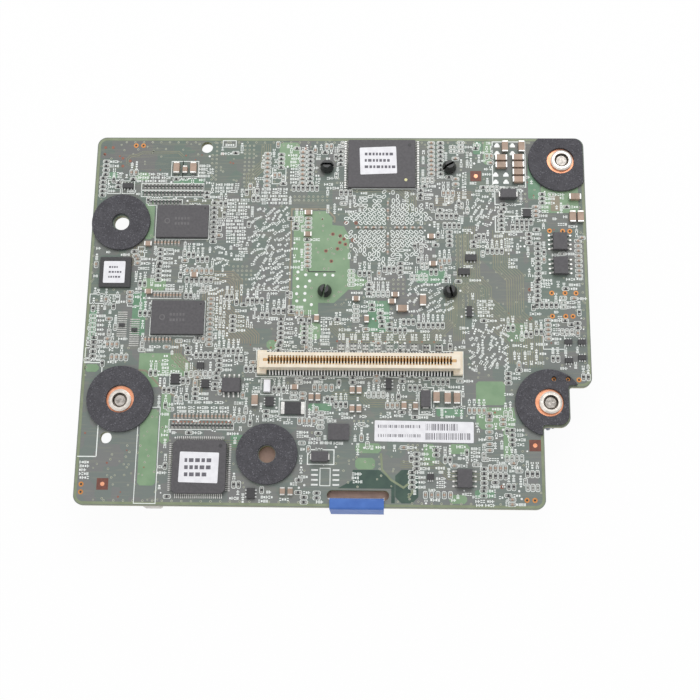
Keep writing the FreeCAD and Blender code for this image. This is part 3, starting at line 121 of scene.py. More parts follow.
class Shader:
    """A node material under construction."""

    def __init__(self, name):
        self.material = bpy.data.materials.new(name)
        self.material.use_nodes = True
        self.tree = self.material.node_tree
        self.body = self.tree.nodes["Principled BSDF"]
        self.place = self.node("TexCoord", {}).outputs["Object"]

    def node(self, kind, inputs, **settings):
        return add_node(self.tree, kind, inputs, **settings)

    def set(self, **values):
        """Feeds the surface's own inputs."""
        for name, value in values.items():
            feed(self.tree, self.body.inputs[name.replace("_", " ")], value)

    def noise(self, scale, detail=3.0, stretch=None):
        """Noise with the given number of cells in a millimetre."""
        place = self.place
        if stretch:
            place = self.node("Mapping", {"Vector": place, "Scale": stretch}).outputs["Vector"]
        grain = {"Vector": place, "Scale": scale / MM, "Detail": detail}
        return self.node("TexNoise", grain).outputs["Fac"]

    def ramp(self, source, low, high, start=0.35, end=0.65):
        """Two colours spread over a source's range."""
        node = self.node("ValToRGB", {"Fac": source})
        first, last = node.color_ramp.elements
        first.position, last.position = start, end
        first.color, last.color = low, high
        return node.outputs["Color"]

    def tones(self, scale, low, high, detail=3.0, stretch=None):
        """Two colours, written 0 to 255, that drift into each other."""
        return self.ramp(self.noise(scale, detail, stretch), linear(*low), linear(*high))

    def mix(self, factor, first, second):
        return self.node("Mix", {"Factor": factor, 6: first, 7: second}, data_type="RGBA").outputs[2]

    def math(self, operation, *values):
        return self.node("Math", dict(enumerate(values)), operation=operation).outputs["Value"]

    def part(self, vector, axis):
        return self.node("SeparateXYZ", {"Vector": vector}).outputs[axis]

    def bump(self, scale, height, detail=3.0, stretch=None):
        """Relief with the given number of cells in a millimetre and height in millimetres."""
        relief = {"Height": self.noise(scale, detail, stretch), "Distance": height * MM}
        self.set(Normal=self.node("Bump", relief).outputs["Normal"])

    def roughness(self, scale, low, high, detail=2.0, stretch=None):
        spread = {"Value": self.noise(scale, detail, stretch), "To Min": low, "To Max": high}
        self.set(Roughness=self.node("MapRange", spread).outputs["Result"])


def mottled(name, low, high, scale, rough, relief=None, metallic=0.0, stretch=None, **more):
    """A surface whose colour and roughness drift gently; relief is (cells in a millimetre, height)."""
    shader = Shader(name)
    shader.set(Base_Color=shader.tones(scale, low, high, 4.0, stretch), Metallic=metallic, **more)
    shader.roughness(scale * 3, *rough, 2.0, stretch)
    if relief:
        shader.bump(*relief, 3.0, stretch)
    return shader.material


def board_material():
    """Solder mask over planes and buried tracks on both faces, with painted sheen paling it towards the front
    edge, and bare laminate at the cut edges.
    """
    shader = Shader("solder_mask")
    mask = shader.ramp(shader.noise(0.06, 4.0), linear(108, 111, 110), linear(103, 116, 107), 0.4, 0.62)
    cells = shader.node("TexVoronoi", {"Vector": shader.place, "Scale": 0.22 / MM, "Randomness": 0.9},
                        distance="CHEBYCHEV")
    split = shader.node("SeparateColor", {"Color": cells.outputs["Color"]})
    patch = shader.ramp(split.outputs["Red"], linear(116, 112, 111), linear(94, 116, 104), 0.35, 0.6)
    blend = shader.mix(0.4, mask, patch)
    runs = shader.ramp(shader.noise(1.1, 1.0, (0.12, 1.9, 1.0)), BLACK, WHITE, 0.55, 0.62)
    blend = shader.mix(shader.mix(0.7, runs, BLACK), blend, linear(134, 136, 118))
    # Painted sheen: the mask is mixed towards a pale grey, by 0.3 at the front edge and not at all at the
    # rear.
    front = shader.node("MapRange", {"Value": shader.part(shader.place, "Y"), "From Min": FRONT,
                                     "From Max": REAR, "To Min": 0.3, "To Max": 0.0})
    blend = shader.mix(front.outputs["Result"], blend, linear(146, 148, 148))
    normal = shader.node("NewGeometry", {}).outputs["Normal"]
    laminate = shader.tones(1.4, (118, 122, 82), (150, 150, 108), 3.0, (1, 1, 6))
    level = shader.ramp(shader.math("ABSOLUTE", shader.part(normal, "Z")), BLACK, WHITE, 0.6, 0.7)
    shader.set(Base_Color=shader.mix(level, laminate, blend), Specular_IOR_Level=0.45)
    shader.roughness(0.3, 0.38, 0.5, 3.0)
    shader.bump(1.6, 0.012)
    return shader.material


def film_material():
    """The pull tab's blue film."""
    shader = Shader("tab_film")
    shader.set(Base_Color=shader.tones(0.25, (66, 106, 182), (80, 122, 198)), Specular_IOR_Level=0.35)
    shader.roughness(0.8, 0.4, 0.52)
    shader.bump(0.35, 0.02, 1.0)
    return shader.material


def washer_material():
    """Dark sheet with fine pale and dark flecks."""
    shader = Shader("die_cut_sheet")
    ground = shader.tones(0.4, (70, 69, 74), (80, 79, 84))
    pale = shader.ramp(shader.noise(3.4, 2.0), BLACK, WHITE, 0.6, 0.68)
    dark = shader.ramp(shader.noise(2.7, 2.0, (1, 1, 1.3)), WHITE, BLACK, 0.33, 0.42)
    flecked = shader.mix(shader.mix(0.45, BLACK, pale), ground, linear(150, 150, 158))
    flecked = shader.mix(shader.mix(0.55, BLACK, dark), flecked, linear(34, 33, 36))
    shader.set(Base_Color=flecked, Specular_IOR_Level=0.35)
    shader.roughness(2.0, 0.66, 0.82)
    shader.bump(3.4, 0.03)
    return shader.material


def contact_material():
    """Gold on the beams inside the connector, tin on the tails outside it."""
    shader = Shader("contact_plating")
    low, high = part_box("mezzanine_contacts")
    middle, edge = (low[1] + high[1]) / 2, (high[1] - low[1]) / 2 - 1.35 * MM
    away = shader.math("ABSOLUTE", shader.math("SUBTRACT", shader.part(shader.place, "Y"), middle))
    gold = shader.tones(2.0, (206, 156, 90), (232, 188, 124))
    tin = shader.tones(1.4, (206, 206, 204), (230, 230, 228))
    shader.set(Base_Color=shader.mix(shader.math("GREATER_THAN", away, edge), gold, tin), Metallic=0.7)
    shader.roughness(3.0, 0.3, 0.45)
    shader.bump(4.0, 0.008, 2.0)
    return shader.material


MOTTLED = {     # low and high colour, cells in a millimetre, roughness, relief, metallic
    "mask_light": ((122, 152, 118), (134, 162, 128), 0.3, (0.4, 0.5), (1.5, 0.01)),
    "mask_teal": ((96, 138, 108), (112, 148, 120), 0.35, (0.38, 0.5), (1.5, 0.01)),
    "mask_dark": ((48, 72, 64), (62, 86, 74), 0.4, (0.35, 0.48), (1.5, 0.01)),
    "mask_track": ((124, 130, 112), (140, 140, 118), 0.5, (0.38, 0.5)),
    "mask_tan": ((136, 130, 112), (146, 138, 118), 0.5, (0.38, 0.5)),
    # the dark of gaps in the copper planes, and painted shade under the connector's tails
    "dark_gap_and_shade": ((34, 38, 36), (50, 54, 50), 0.6, (0.5, 0.6)),
    "mask_edge": ((128, 138, 110), (140, 150, 122), 0.4, (0.4, 0.5)),
    "silk_white": ((234, 240, 236), (248, 252, 248), 1.2, (0.5, 0.62), (3.0, 0.01)),
    "silk_print": ((236, 242, 238), (250, 253, 250), 1.2, (0.5, 0.62)),
    "silk_dim": ((166, 170, 150), (190, 194, 176), 1.2, (0.4, 0.52)),
    "tin": ((184, 183, 180), (212, 211, 208), 1.5, (0.26, 0.42), (2.5, 0.02), 0.85),
    "tin_pale": ((216, 218, 216), (234, 236, 234), 1.5, (0.34, 0.46), None, 0.2),
    "tin_small": ((156, 156, 152), (184, 184, 180), 2.0, (0.34, 0.5), (4.0, 0.02), 0.6),
    "copper": ((214, 142, 106), (236, 170, 136), 0.8, (0.28, 0.4), (2.0, 0.01), 0.7),
    "amber": ((188, 122, 62), (206, 142, 80), 1.5, (0.35, 0.5), None, 0.4),
    "rust": ((140, 88, 72), (158, 104, 84), 1.5, (0.4, 0.5)),
    "brown": ((104, 62, 52), (120, 74, 62), 1.2, (0.45, 0.6), (3.0, 0.01)),
    "hole": ((48, 52, 50), (60, 62, 60), 2.0, (0.6, 0.8)),
    "chip": ((78, 76, 79), (88, 86, 89), 1.6, (0.5, 0.66), (6.0, 0.012)),
    "chip_dark": ((50, 50, 52), (62, 61, 63), 2.0, (0.45, 0.6), (6.0, 0.01)),
    "chip_print": ((100, 98, 100), (112, 110, 112), 0.5, (0.5, 0.62)),
    "paper": ((236, 235, 240), (246, 246, 250), 0.6, (0.5, 0.62), (4.0, 0.006)),
    "ink": ((92, 90, 98), (118, 116, 124), 3.0, (0.55, 0.7)),
    "face_gold": ((186, 146, 98), (208, 168, 118), 1.6, (0.4, 0.5), None, 0.2),
    "gold": ((186, 140, 78), (214, 172, 110), 2.0, (0.26, 0.4), (4.0, 0.01), 0.8),
    "ceramic": ((158, 138, 122), (186, 160, 142), 0.35, (0.45, 0.6), (3.0, 0.012)),
    "steel": ((172, 168, 162), (196, 192, 186), 1.4, (0.24, 0.4), (3.0, 0.02), 0.95),
    "bright": ((196, 190, 182), (222, 216, 208), 1.2, (0.24, 0.38), (3.0, 0.02), 0.75),
    "screw": ((132, 128, 122), (176, 170, 164), 1.6, (0.26, 0.46), (1.6, 0.08), 0.9),
    "knob": ((34, 44, 82), (48, 60, 102), 1.0, (0.3, 0.42), (4.0, 0.01), 0.5),
    "pin": ((26, 27, 28), (38, 39, 40), 1.5, (0.28, 0.42), (3.0, 0.012)),
    "lid": ((168, 168, 166), (190, 190, 188), 0.8, (0.3, 0.42), (3.0, 0.01), 0.9),
    "pad": ((120, 122, 126), (136, 138, 142), 1.0, (0.7, 0.85), (3.0, 0.02)),
    "dot": ((226, 222, 164), (238, 234, 180), 1.5, (0.4, 0.55)),
    # painted shade of the floor under the card, seen through its openings
    "painted_shade_brown": ((152, 124, 112), (168, 138, 124), 0.6, (0.45, 0.6)),
}
MATERIALS = {look: mottled(look, *entry) for look, entry in MOTTLED.items()}
MATERIALS["ivory"] = mottled("ivory", (238, 224, 202), (248, 237, 218), 0.5, (0.42, 0.55), (2.0, 0.01),
                             Subsurface_Weight=0.04, Subsurface_Radius=(0.001, 0.0006, 0.0003))
MATERIALS["sink"] = mottled("sink", (176, 178, 180), (196, 198, 200), 0.5, (0.34, 0.46), (3.0, 0.015), 0.85,
                            stretch=(1, 0.05, 1))
MATERIALS["solder_mask"] = board_material()
MATERIALS["washer"] = washer_material()
MATERIALS["contacts"] = contact_material()
MATERIALS["film"] = film_material()
NODE_LOOKS = {          # by the start of the node's name: its look, and how far its edges are rounded
    "circuit_board": ("solder_mask", 0.05), "standoff_washer": ("washer", 0.1),
    "screw_washer": ("washer", 0.1), "screw_retainer": ("bright", 0), "captive_screw": ("screw", 0),
    "screw_knob": ("knob", 0.08),
    "slip_washer": ("steel", 0), "screw_spring": ("steel", 0), "mezzanine_housing": ("ivory", 0.06),
    "mezzanine_contacts": ("contacts", 0), "flash_chip": ("chip", 0.06), "flash_leads": ("tin", 0),
    "flash_label": ("paper", 0), "logic_chip": ("chip", 0.07), "logic_leads": ("tin", 0),
    "logic_label": ("paper", 0), "memory_chips": ("chip", 0.05), "component_side_memory": ("chip", 0.05),
    "side_controller": ("chip_dark", 0.05), "side_label": ("paper", 0), "power_chip": ("chip", 0.05),
    "buffer_chips": ("chip", 0.07), "buffer_leads": ("tin", 0), "small_chips": ("chip_dark", 0.05),
    "capacitors": ("ceramic", 0.05), "capacitor_ends": ("tin", 0.09), "sense_resistor": ("chip_dark", 0.04),
    "sense_resistor_ends": ("tin", 0.08), "diodes": ("chip", 0.1), "diode_ends": ("tin", 0.05),
    "serial_label": ("paper", 0), "pull_tab": ("film", 0.05), "raid_processor": ("lid", 0.08),
    "thermal_pad": ("pad", 0), "heat_sink": ("sink", 0.08), "push_pins": ("pin", 0),
    "push_pin_springs": ("steel", 0), "left_port_shell": ("steel", 0), "front_port_shell": ("steel", 0),
    "left_port_core": ("pin", 0), "front_port_core": ("pin", 0), "port_contacts": ("gold", 0),
    "filter_coils": ("chip_dark", 0.25), "polymer_capacitors": ("chip", 0.12),
}


def dress_nodes():
    """Each CAD node's look and edge rounding; the longest entry that starts the node's name counts."""
    for name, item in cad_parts.items():
        entry = max((start for start in NODE_LOOKS if name.startswith(start)), key=len)
        look, edge_round = NODE_LOOKS[entry]
        item.data.materials.clear()
        item.data.materials.append(MATERIALS[look])
        if edge_round or entry == "push_pin_springs":
            item.modifiers.new("weld", "WELD").merge_threshold = 0.001 * MM
        if edge_round:
            bevel = item.modifiers.new("edge_round", "BEVEL")
            bevel.width = edge_round * MM
            bevel.segments = 2
            bevel.limit_method = "ANGLE"
            bevel.angle_limit = math.radians(40)
        elif entry == "push_pin_springs":
            rounded = item.modifiers.new("rounded", "SUBSURF")
            rounded.levels = rounded.render_levels = 2


# ------------------------ mesh building
class Layer:
    """Many small solids of one material, made into one piece that rides with the card."""

    def __init__(self, name, material, below=False):
        self.name = name
        self.material = material
        self.below = below
        self.points = []
        self.faces = []

    def add(self, points, faces):
        start = len(self.points)
        self.points += points
        self.faces += [[start + i for i in face] for face in faces]

    def stack(self, rings, closed=False):
        """A solid through rings of equal length, which turn anticlockwise as seen from the last one."""
        size, total = len(rings[0]), len(rings)
        faces = [] if closed else [list(range(size))[::-1], [size * (total - 1) + i for i in range(size)]]
        for level in range(total if closed else total - 1):
            low, high = level * size, (level + 1) % total * size
            for i in range(size):
                after = (i + 1) % size
                faces.append([low + i, low + after, high + after, high + i])
        self.add([point for ring in rings for point in ring], faces)

    def prism(self, outline, low, high):
        """An upright solid on an outline."""
        if turning(outline) < 0:
            outline = outline[::-1]
        self.stack([[(x, y, level) for x, y in outline] for level in (low, high)])

    def box(self, x, y, length, width, low, high, turn=0.0, chamfer=0.0):
        """A box about x, y, with its top drawn in by the chamfer; turn is in degrees."""
        levels = ((0, low), (0, high - chamfer), (chamfer, high)) if chamfer else ((0, low), (0, high))
        rings = []
        for inset, level in levels:
            a, b = length / 2 - inset, width / 2 - inset
            corners = ((-a, -b), (a, -b), (a, b), (-a, b))
            rings.append([(*spin(*corner, turn, x, y), level) for corner in corners])
        self.stack(rings)

    def disc(self, x, y, radius, low, high, sides=12):
        self.prism(circle(x, y, radius, sides), low, high)

    def ring(self, x, y, inner, outer, low, high, sides=24):
        """A flat ring with its hole open."""
        edges = ((inner, low), (outer, low), (outer, high), (inner, high))
        rings = [[(a, b, level) for a, b in circle(x, y, radius, sides)] for radius, level in edges]
        self.stack(rings, closed=True)

    def line(self, path, width, low=SUNK, high=SILK_TOP, closed=False):
        """A ribbon along a path, with mitred corners."""
        sides = zip(beside(path, width / 2, closed), beside(path, -width / 2, closed))
        sections = [[(*left, low), (*left, high), (*right, high), (*right, low)] for left, right in sides]
        self.stack(sections, closed)

    def frame(self, x0, y0, x1, y1, width=FINE):
        self.line([(x0, y0), (x1, y0), (x1, y1), (x0, y1)], width, closed=True)

    def make(self):
        mesh = bpy.data.meshes.new(self.name)
        sign, base = (-1, UNDER) if self.below else (1, FACE)
        points = [(LEFT + x * MM, FRONT + y * MM, base + sign * z * MM) for x, y, z in self.points]
        faces = [face[::-1] for face in self.faces] if self.below else self.faces
        mesh.from_pydata(points, [], faces)
        mesh.validate()
        mesh.materials.append(MATERIALS[self.material])
        item = put(self.name, mesh)
        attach(item, "card")
        return item


def put(name, data):
    """A new object in the scene."""
    item = bpy.data.objects.new(name, data)
    bpy.context.scene.collection.objects.link(item)
    return item


def laid(along, across, upright):
    """A place or size along x and across it, turned to run along y where it is upright."""
    return (across, along) if upright else (along, across)


def spin(a, b, turn, x, y):
    """The offset a, b turned by degrees and put at x, y."""
    angle = math.radians(turn)
    return (x + a * math.cos(angle) - b * math.sin(angle), y + a * math.sin(angle) + b * math.cos(angle))


def circle(x, y, radius, sides):
    turn = 2 * math.pi / sides
    return [(x + radius * math.cos(turn * i), y + radius * math.sin(turn * i)) for i in range(sides)]


def unit(start, end):
    x, y = end[0] - start[0], end[1] - start[1]
    size = math.hypot(x, y) or 1.0
    return (x / size, y / size)


def around(outline):
    """Each corner of an outline with the next one."""
    return zip(outline, outline[1:] + outline[:1])


def turning(outline):
    """Twice an outline's area; positive where it runs anticlockwise."""
    return sum(a[0] * b[1] - b[0] * a[1] for a, b in around(outline))


def beside(path, distance, closed=False):
    """The path moved sideways, to its left, with mitred corners."""
    total, moved = len(path), []
    for i, here in enumerate(path):
        before = path[i - 1] if i or closed else None
        after = path[(i + 1) % total] if i < total - 1 or closed else None
        arrive = unit(before, here) if before else unit(here, after)
        leave = unit(here, after) if after else arrive
        size = math.hypot(arrive[0] + leave[0], arrive[1] + leave[1]) or 1.0
        normal = (-(arrive[1] + leave[1]) / size, (arrive[0] + leave[0]) / size)
        reach = distance / max(0.4, normal[1] * arrive[0] - normal[0] * arrive[1])
        moved.append((here[0] + normal[0] * reach, here[1] + normal[1] * reach))
    return moved


def row(x, y, step_x, step_y, count):
    return [(x + step_x * i, y + step_y * i) for i in range(count)]


def grid(x, y, step_x, step_y, columns, rows):
    return [(x + step_x * i, y + step_y * j) for j in range(rows) for i in range(columns)]


chance = random.Random(7)

# ------------------------ the room on the board
CELL = 0.25             # the side of a cell
FLAT = 0.9              # the least upward share of a flat face's normal
TALL = 0.05             # the least height of a solid that takes up room
EDGE_GAP = 0.35         # kept free inside the board's edges, and about the solids
NODE_GAP = 0.15


def board_loops():
    """The closed outlines of the board's mating face, in board millimetres, the longest first."""
    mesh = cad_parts["circuit_board"].data
    spot = {v.index: (round((v.co.x - LEFT) / MM, 3), round((v.co.y - FRONT) / MM, 3)) for v in mesh.vertices}
    used = {}
    for polygon in mesh.polygons:
        level = all(abs(mesh.vertices[i].co.z - FACE) < 0.01 * MM for i in polygon.vertices)
        if level and polygon.normal.z > FLAT:
            corners = [spot[i] for i in polygon.vertices]
            for start, end in around(corners):
                if (end, start) in used:
                    del used[(end, start)]
                else:
                    used[(start, end)] = True
    after = {start: end for start, end in used}
    loops = []
    while after:
        start, here = after.popitem()
        loop = [start]
        while here != start and here in after:
            loop.append(here)
            here = after.pop(here)
        loops.append(loop)
    return sorted(loops, key=lambda loop: -abs(turning(loop)))


def cells(x0, y0, x1, y1):
    """The quarter-millimetre cells that a box covers."""
    for i in range(math.floor(x0 / CELL), math.floor(x1 / CELL) + 1):
        for j in range(math.floor(y0 / CELL), math.floor(y1 / CELL) + 1):
            yield (i, j)


class Room:
    """The cells of one face of the board that carry nothing yet."""

    def __init__(self, loops, below=False):
        self.below = below
        self.open = set()
        edges = [edge for loop in loops for edge in around(loop)]
        for j in range(int(DEPTH / CELL) + 1):
            y = (j + 0.5) * CELL
            cuts = sorted(x0 + (y - y0) * (x1 - x0) / (y1 - y0) for (x0, y0), (x1, y1) in edges
                          if (y0 > y) != (y1 > y))
            for start, stop in zip(cuts[::2], cuts[1::2]):
                self.open.update((i, j) for i in range(math.ceil(start / CELL), math.floor(stop / CELL)))
        for start, end in edges:
            steps = int(math.dist(start, end) / CELL) + 1
            for i in range(steps + 1):
                self.fill(*(a + (b - a) * i / steps for a, b in zip(start, end)), EDGE_GAP, EDGE_GAP)

    def take(self, x0, y0, x1, y1):
        self.open.difference_update(cells(x0, y0, x1, y1))

    def fill(self, x, y, wide, tall):
        """Takes what a box about a place covers."""
        self.take(x - wide, y - tall, x + wide, y + tall)

    def free(self, x, y, wide, tall):
        """Whether a box about a place is on the board and carries nothing yet."""
        return all(cell in self.open for cell in cells(x - wide, y - tall, x + wide, y + tall))

    def take_nodes(self):
        """Takes what lies under the flat tops of the solids on this face."""
        side, start = (-1, UNDER) if self.below else (1, FACE)
        for name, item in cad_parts.items():
            for low, high in flat_tops(item, side, start):
                if name != "circuit_board":
                    self.take(low[0] - NODE_GAP, low[1] - NODE_GAP, high[0] + NODE_GAP, high[1] + NODE_GAP)


def flat_tops(item, side, start):
    """The corners, in board millimetres, of a node's flat faces that look out from one side."""
    for polygon in item.data.polygons:
        corners = [item.data.vertices[i].co for i in polygon.vertices]
        height = min(side * (corner.z - start) for corner in corners)
        if polygon.normal.z * side > FLAT and height > TALL * MM:
            across = [(corner.x - LEFT) / MM for corner in corners]
            along = [(corner.y - FRONT) / MM for corner in corners]
            yield (min(across), min(along)), (max(across), max(along))


def top_of(node):
    """A node's box in board millimetres, with its top above the mating face."""
    low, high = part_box(node)
    return ((low[0] - LEFT) / MM, (low[1] - FRONT) / MM, (high[0] - LEFT) / MM, (high[1] - FRONT) / MM,
            (high[2] - FACE) / MM)


LOOPS = board_loops()
room = Room(LOOPS)              # the face in work: what is laid down goes to this one
room.take_nodes()
LAYERS, INKS = {}, {}


def layer(name, material=None):
    """The layer of that name on the face in work, made when it is first asked for."""
    if material:
        INKS[name] = material
    full_name = ("under_" if room.below else "") + name
    if full_name not in LAYERS:
        LAYERS[full_name] = Layer(full_name, INKS[name], room.below)
    return LAYERS[full_name]


# ------------------------ copper and solder mask
def rectangle(x0, y0, x1, y1, cut=0.7):
    """A rectangle's outline with its corners cut, as poured copper has."""
    cut = min(cut, (x1 - x0) / 3, (y1 - y0) / 3)
    return [(x0 + cut, y0), (x1 - cut, y0), (x1, y0 + cut), (x1, y1 - cut), (x1 - cut, y1), (x0 + cut, y1),
            (x0, y1 - cut), (x0, y0 + cut)]


LIGHT_POURS = [
    (16.3, 5.1, 21, 25.1), (21.5, 16, 24, 30), (103.6, 26.9, 111.2, 33.2), (72.4, 14, 79, 16.6),
    (72.4, 9.8, 77.5, 12.8), (96.5, 14, 101.8, 16.6), (90, 11, 93, 16.5), (57.3, 44.2, 62.8, 48.8),
    (48.6, 41.4, 51.8, 44), (50.5, 93, 56, 100.4), (14.5, 57.5, 21, 60.9), (106.3, 94, 108.6, 101),
    (121.8, 80, 131.9, 88), (96.5, 1.2, 101, 3.5), (14.3, 72, 16.9, 83), (11, 89, 15, 91.4),
    (0.7, 35, 4.5, 37.1),
]
TEAL_POURS = [
    (93.3, 23.8, 100.3, 26), (75.3, 46.4, 81, 55), (12.4, 45, 16, 57), (103.6, 97, 106, 100.8),
    (118.4, 84, 121.6, 96), (103, 2.8, 108, 4.8), (21.5, 88.3, 30, 89.6), (0.9, 43.8, 3, 52),
    (40, 15, 44, 18.5), (3.6, 89.5, 6, 91.5), (60, 25, 66, 27), (88, 60, 96, 63.5), (112, 44, 117, 49),
]
LARGE_POUR = [
    (55, 52.3), (57, 51), (62, 51), (62, 54.3), (66.2, 54.3), (70, 58), (73, 58), (75.2, 60.5), (72.5, 61.8),
    (70.3, 64), (70, 73), (68.5, 76), (65.4, 76.3), (65.4, 78.3), (63.5, 80.3), (55, 80.3),
]
POWER_POUR = [
    (103.6, 26.3), (103.6, 22), (105, 20.5), (110.5, 20.5), (110.5, 13.2), (112.6, 13.2), (112.6, 19.5),
    (113.9, 23), (113.3, 26.3),
]
PORT_POUR = [(15, 31), (20.4, 31), (20.4, 34), (28.5, 34), (28.5, 37.6), (25.8, 40.2), (15, 40.2)]
TAB_APRON = [(68, 4.9), (71.8, 7), (71.8, 9.7), (78.6, 9.7), (81, 7.6), (82.6, 6.6), (82.6, 1.2), (81.7, 1.2),
             (81.7, 4.9)]
SNAKE = [(79, 14), (79.3, 9.8), (81.6, 7.2), (84.8, 5.2), (86.6, 6.6), (87.4, 4.4), (86, 2.6)]


def lay_copper():
    """Poured copper, thin and bare areas, and the runs along them."""
    for spot in LIGHT_POURS:
        layer("copper_planes", "mask_light").prism(rectangle(*spot), SUNK, POUR_TOP)
    for outline in (LARGE_POUR, POWER_POUR, PORT_POUR):
        layer("copper_planes").prism(outline, SUNK, POUR_TOP)
    layer("edge_strip", "mask_edge").line(SNAKE, 0.55, SUNK, TRACK_TOP)
    for spot in TEAL_POURS:
        layer("thin_planes", "mask_teal").prism(rectangle(*spot, 0.4), SUNK, POUR_TOP * 0.8)
    layer("bare_areas", "mask_dark").prism(rectangle(82.7, 1.2, 88.6, 9.8, 1.6), SUNK, POUR_TOP * 0.6)
    layer("bare_areas").prism(TAB_APRON, SUNK, POUR_TOP * 0.6)
    border = [(60, 50.4), (54.3, 50.9), (54.3, 80.9), (63.8, 80.9), (66, 78.5), (66, 77)]
    layer("plane_borders", "mask_tan").line(border, 0.45, SUNK, TRACK_TOP)
    layer("plane_borders").line([(15, 35.6), (17, 35.4), (21.7, 30.4), (25.3, 28.5)], 0.5, SUNK, TRACK_TOP)
    layer("plane_borders").prism(rectangle(124.4, 80.5, 126.9, 85, 0.2), SUNK, TRACK_TOP)
    layer("plane_gaps_and_tail_shade", "dark_gap_and_shade").line([(59, 64), (59.3, 63), (66.5, 63)], 0.3, SUNK, TRACK_TOP)


STRIP_CORNERS, STRIP_TURNING = 60, 2000         # loops with more than either have a paler strip inside


def lay_edges():
    """The paler strip inside the board's edge, the screws' lands and the dark strips of painted shade under
    the contacts' tails.
    """
    for loop in LOOPS:
        if len(loop) > STRIP_CORNERS or abs(turning(loop)) > STRIP_TURNING:
            inside = beside(loop, 0.55, closed=True)
            layer("edge_strip", "mask_edge").line(inside, 0.7, SUNK, POUR_TOP, closed=True)
    for side in SCREW_SIDES:
        low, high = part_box("slip_washer_" + side)
        x, y = ((low[0] + high[0]) / 2 - LEFT) / MM, ((low[1] + high[1]) / 2 - FRONT) / MM
        layer("screw_lands", "copper").ring(x, y, 2.8, 3.95, SUNK, PAD_TOP, 48)
    # Painted shade: dark strips along both rows of tails, where the gap under them lies in shadow.
    x0, y0, x1, y1, _ = top_of("mezzanine_contacts")
    for y in (y0, y1 - 1.1):
        strip = rectangle(x0 - 0.2, y + 0.1, x1 + 0.2, y + 1.0, 0.05)
        layer("plane_gaps_and_tail_shade", "dark_gap_and_shade").prism(strip, SUNK, POUR_TOP)


TRACKS = (              # the first track's path, how many run side by side, and their pitch
    ([(10.3, 91.6), (10.6, 92.6), (8.3, 94), (8.2, 95.4), (9.2, 96.5), (11.2, 96.8), (12.7, 97.7),
      (22.7, 97.7), (24.3, 96.2)], 2, 0.5),
    ([(38, 58), (38, 54), (46.5, 45.5), (46.5, 43)], 12, 0.62),
    ([(105, 74), (105, 62), (108, 59), (108, 56), (118, 46), (118, 38)], 11, 0.6),
    ([(113, 75), (113, 66), (116.5, 62.5), (116.5, 52), (121, 47.5), (121, 37)], 8, 0.62),
    ([(93, 84), (96, 84), (98, 86), (103, 86)], 5, 0.5),
    ([(26, 83.4), (34, 83.4), (36, 81.4), (36, 78)], 4, 0.5),
    ([(66.5, 49.6), (70, 46.2), (92, 46.2), (96, 50.2), (96, 56)], 6, 0.55),
    ([(31, 63), (39, 63), (41.5, 60.5), (41.5, 54)], 6, 0.6),
    ([(24, 13), (30, 13), (34, 17), (46, 17)], 5, 0.6),
    ([(70, 88.4), (84, 88.4), (88, 84.4), (88, 80)], 5, 0.6),
    ([(8, 60), (8, 64), (12, 68), (12, 76)], 5, 0.55),
    ([(48, 100), (48, 94), (44, 90), (44, 84)], 5, 0.6),
    ([(66, 30), (74, 30), (76, 28), (90, 28)], 4, 0.6),
    ([(26, 44), (26, 40), (32, 34), (32, 29)], 5, 0.6),
    ([(98, 44), (98, 60), (101, 63), (101, 76)], 6, 0.55),
    ([(84, 12), (94, 12), (97, 9), (108, 9)], 4, 0.55),
)


def lay_tracks():
    """Each bundle a little higher than the one before, so that none lies in another's plane."""
    for number, (path, count, pitch) in enumerate(TRACKS):
        name, ink = ("buried_runs_tan", "mask_tan") if number % 3 == 1 else ("buried_runs", "mask_track")
        for i in range(count):
            layer(name, ink).line(beside(path, -pitch * i), pitch * 0.42, SUNK, TRACK_TOP + 0.0006 * number)


# ------------------------ silkscreen
FRAMES = [
    (3.6, 85.2, 7.1, 89.1), (7.6, 85.2, 10.9, 88.9), (12.9, 84.3, 30, 88.2), (15, 81.8, 24.3, 83.5),
    (17.4, 72, 31.9, 81.9), (17.4, 44.9, 31.9, 54.6), (34.8, 99, 38.4, 100.9), (13, 67, 14.8, 69.8),
    (17.8, 67.5, 19.7, 69.2), (20.8, 67.6, 22.7, 69), (0.8, 53.8, 4.9, 56.4), (5.9, 53.9, 8.8, 56.2),
    (11, 53.1, 14.5, 56.8), (15.9, 55.3, 25.3, 57.3), (0.7, 42.2, 4.9, 43.6), (0.6, 38.6, 4.3, 41.5),
    (23.4, 31.5, 26.4, 34.8), (23.8, 19.8, 40.7, 22.4), (45.2, 50.2, 53.3, 57.7), (52.4, 23.3, 59.2, 27.8),
    (116.5, 77.7, 119.8, 81.3), (48.7, 88.2, 52.4, 92.8), (15.7, 0.5, 21.3, 25.6), (63.4, 5.5, 66, 10),
    (46.05, 34.05, 100.35, 41.15), (66.6, 94.6, 69.4, 99.6), (121.4, 42, 127, 46.4),
    (20.9, 90.2, 24.0, 94.7), (24.0, 90.2, 28.3, 94.7), (47.5, 29.2, 50.8, 33.6),
]
BOLD_FRAMES = [
    (60.1, 11, 66.9, 14.8), (109.4, 82.4, 116.5, 86.8), (109.4, 74.5, 116.5, 79), (88.8, 24.2, 92.6, 31.4),
    (92, 26, 99.8, 30.6), (108.9, 87.4, 117.8, 100.7),
]
BARS = [
    (12.9, 86.2, 30, 86.2), (21.3, 89.7, 27.9, 89.7), (0.4, 37.5, 5.3, 37.5), (5.3, 37.5, 5.3, 12.5),
    (5.3, 12.5, 0.4, 12.5), (71, 100.9, 87.2, 100.9), (70.5, 86.8, 88, 86.8),
]


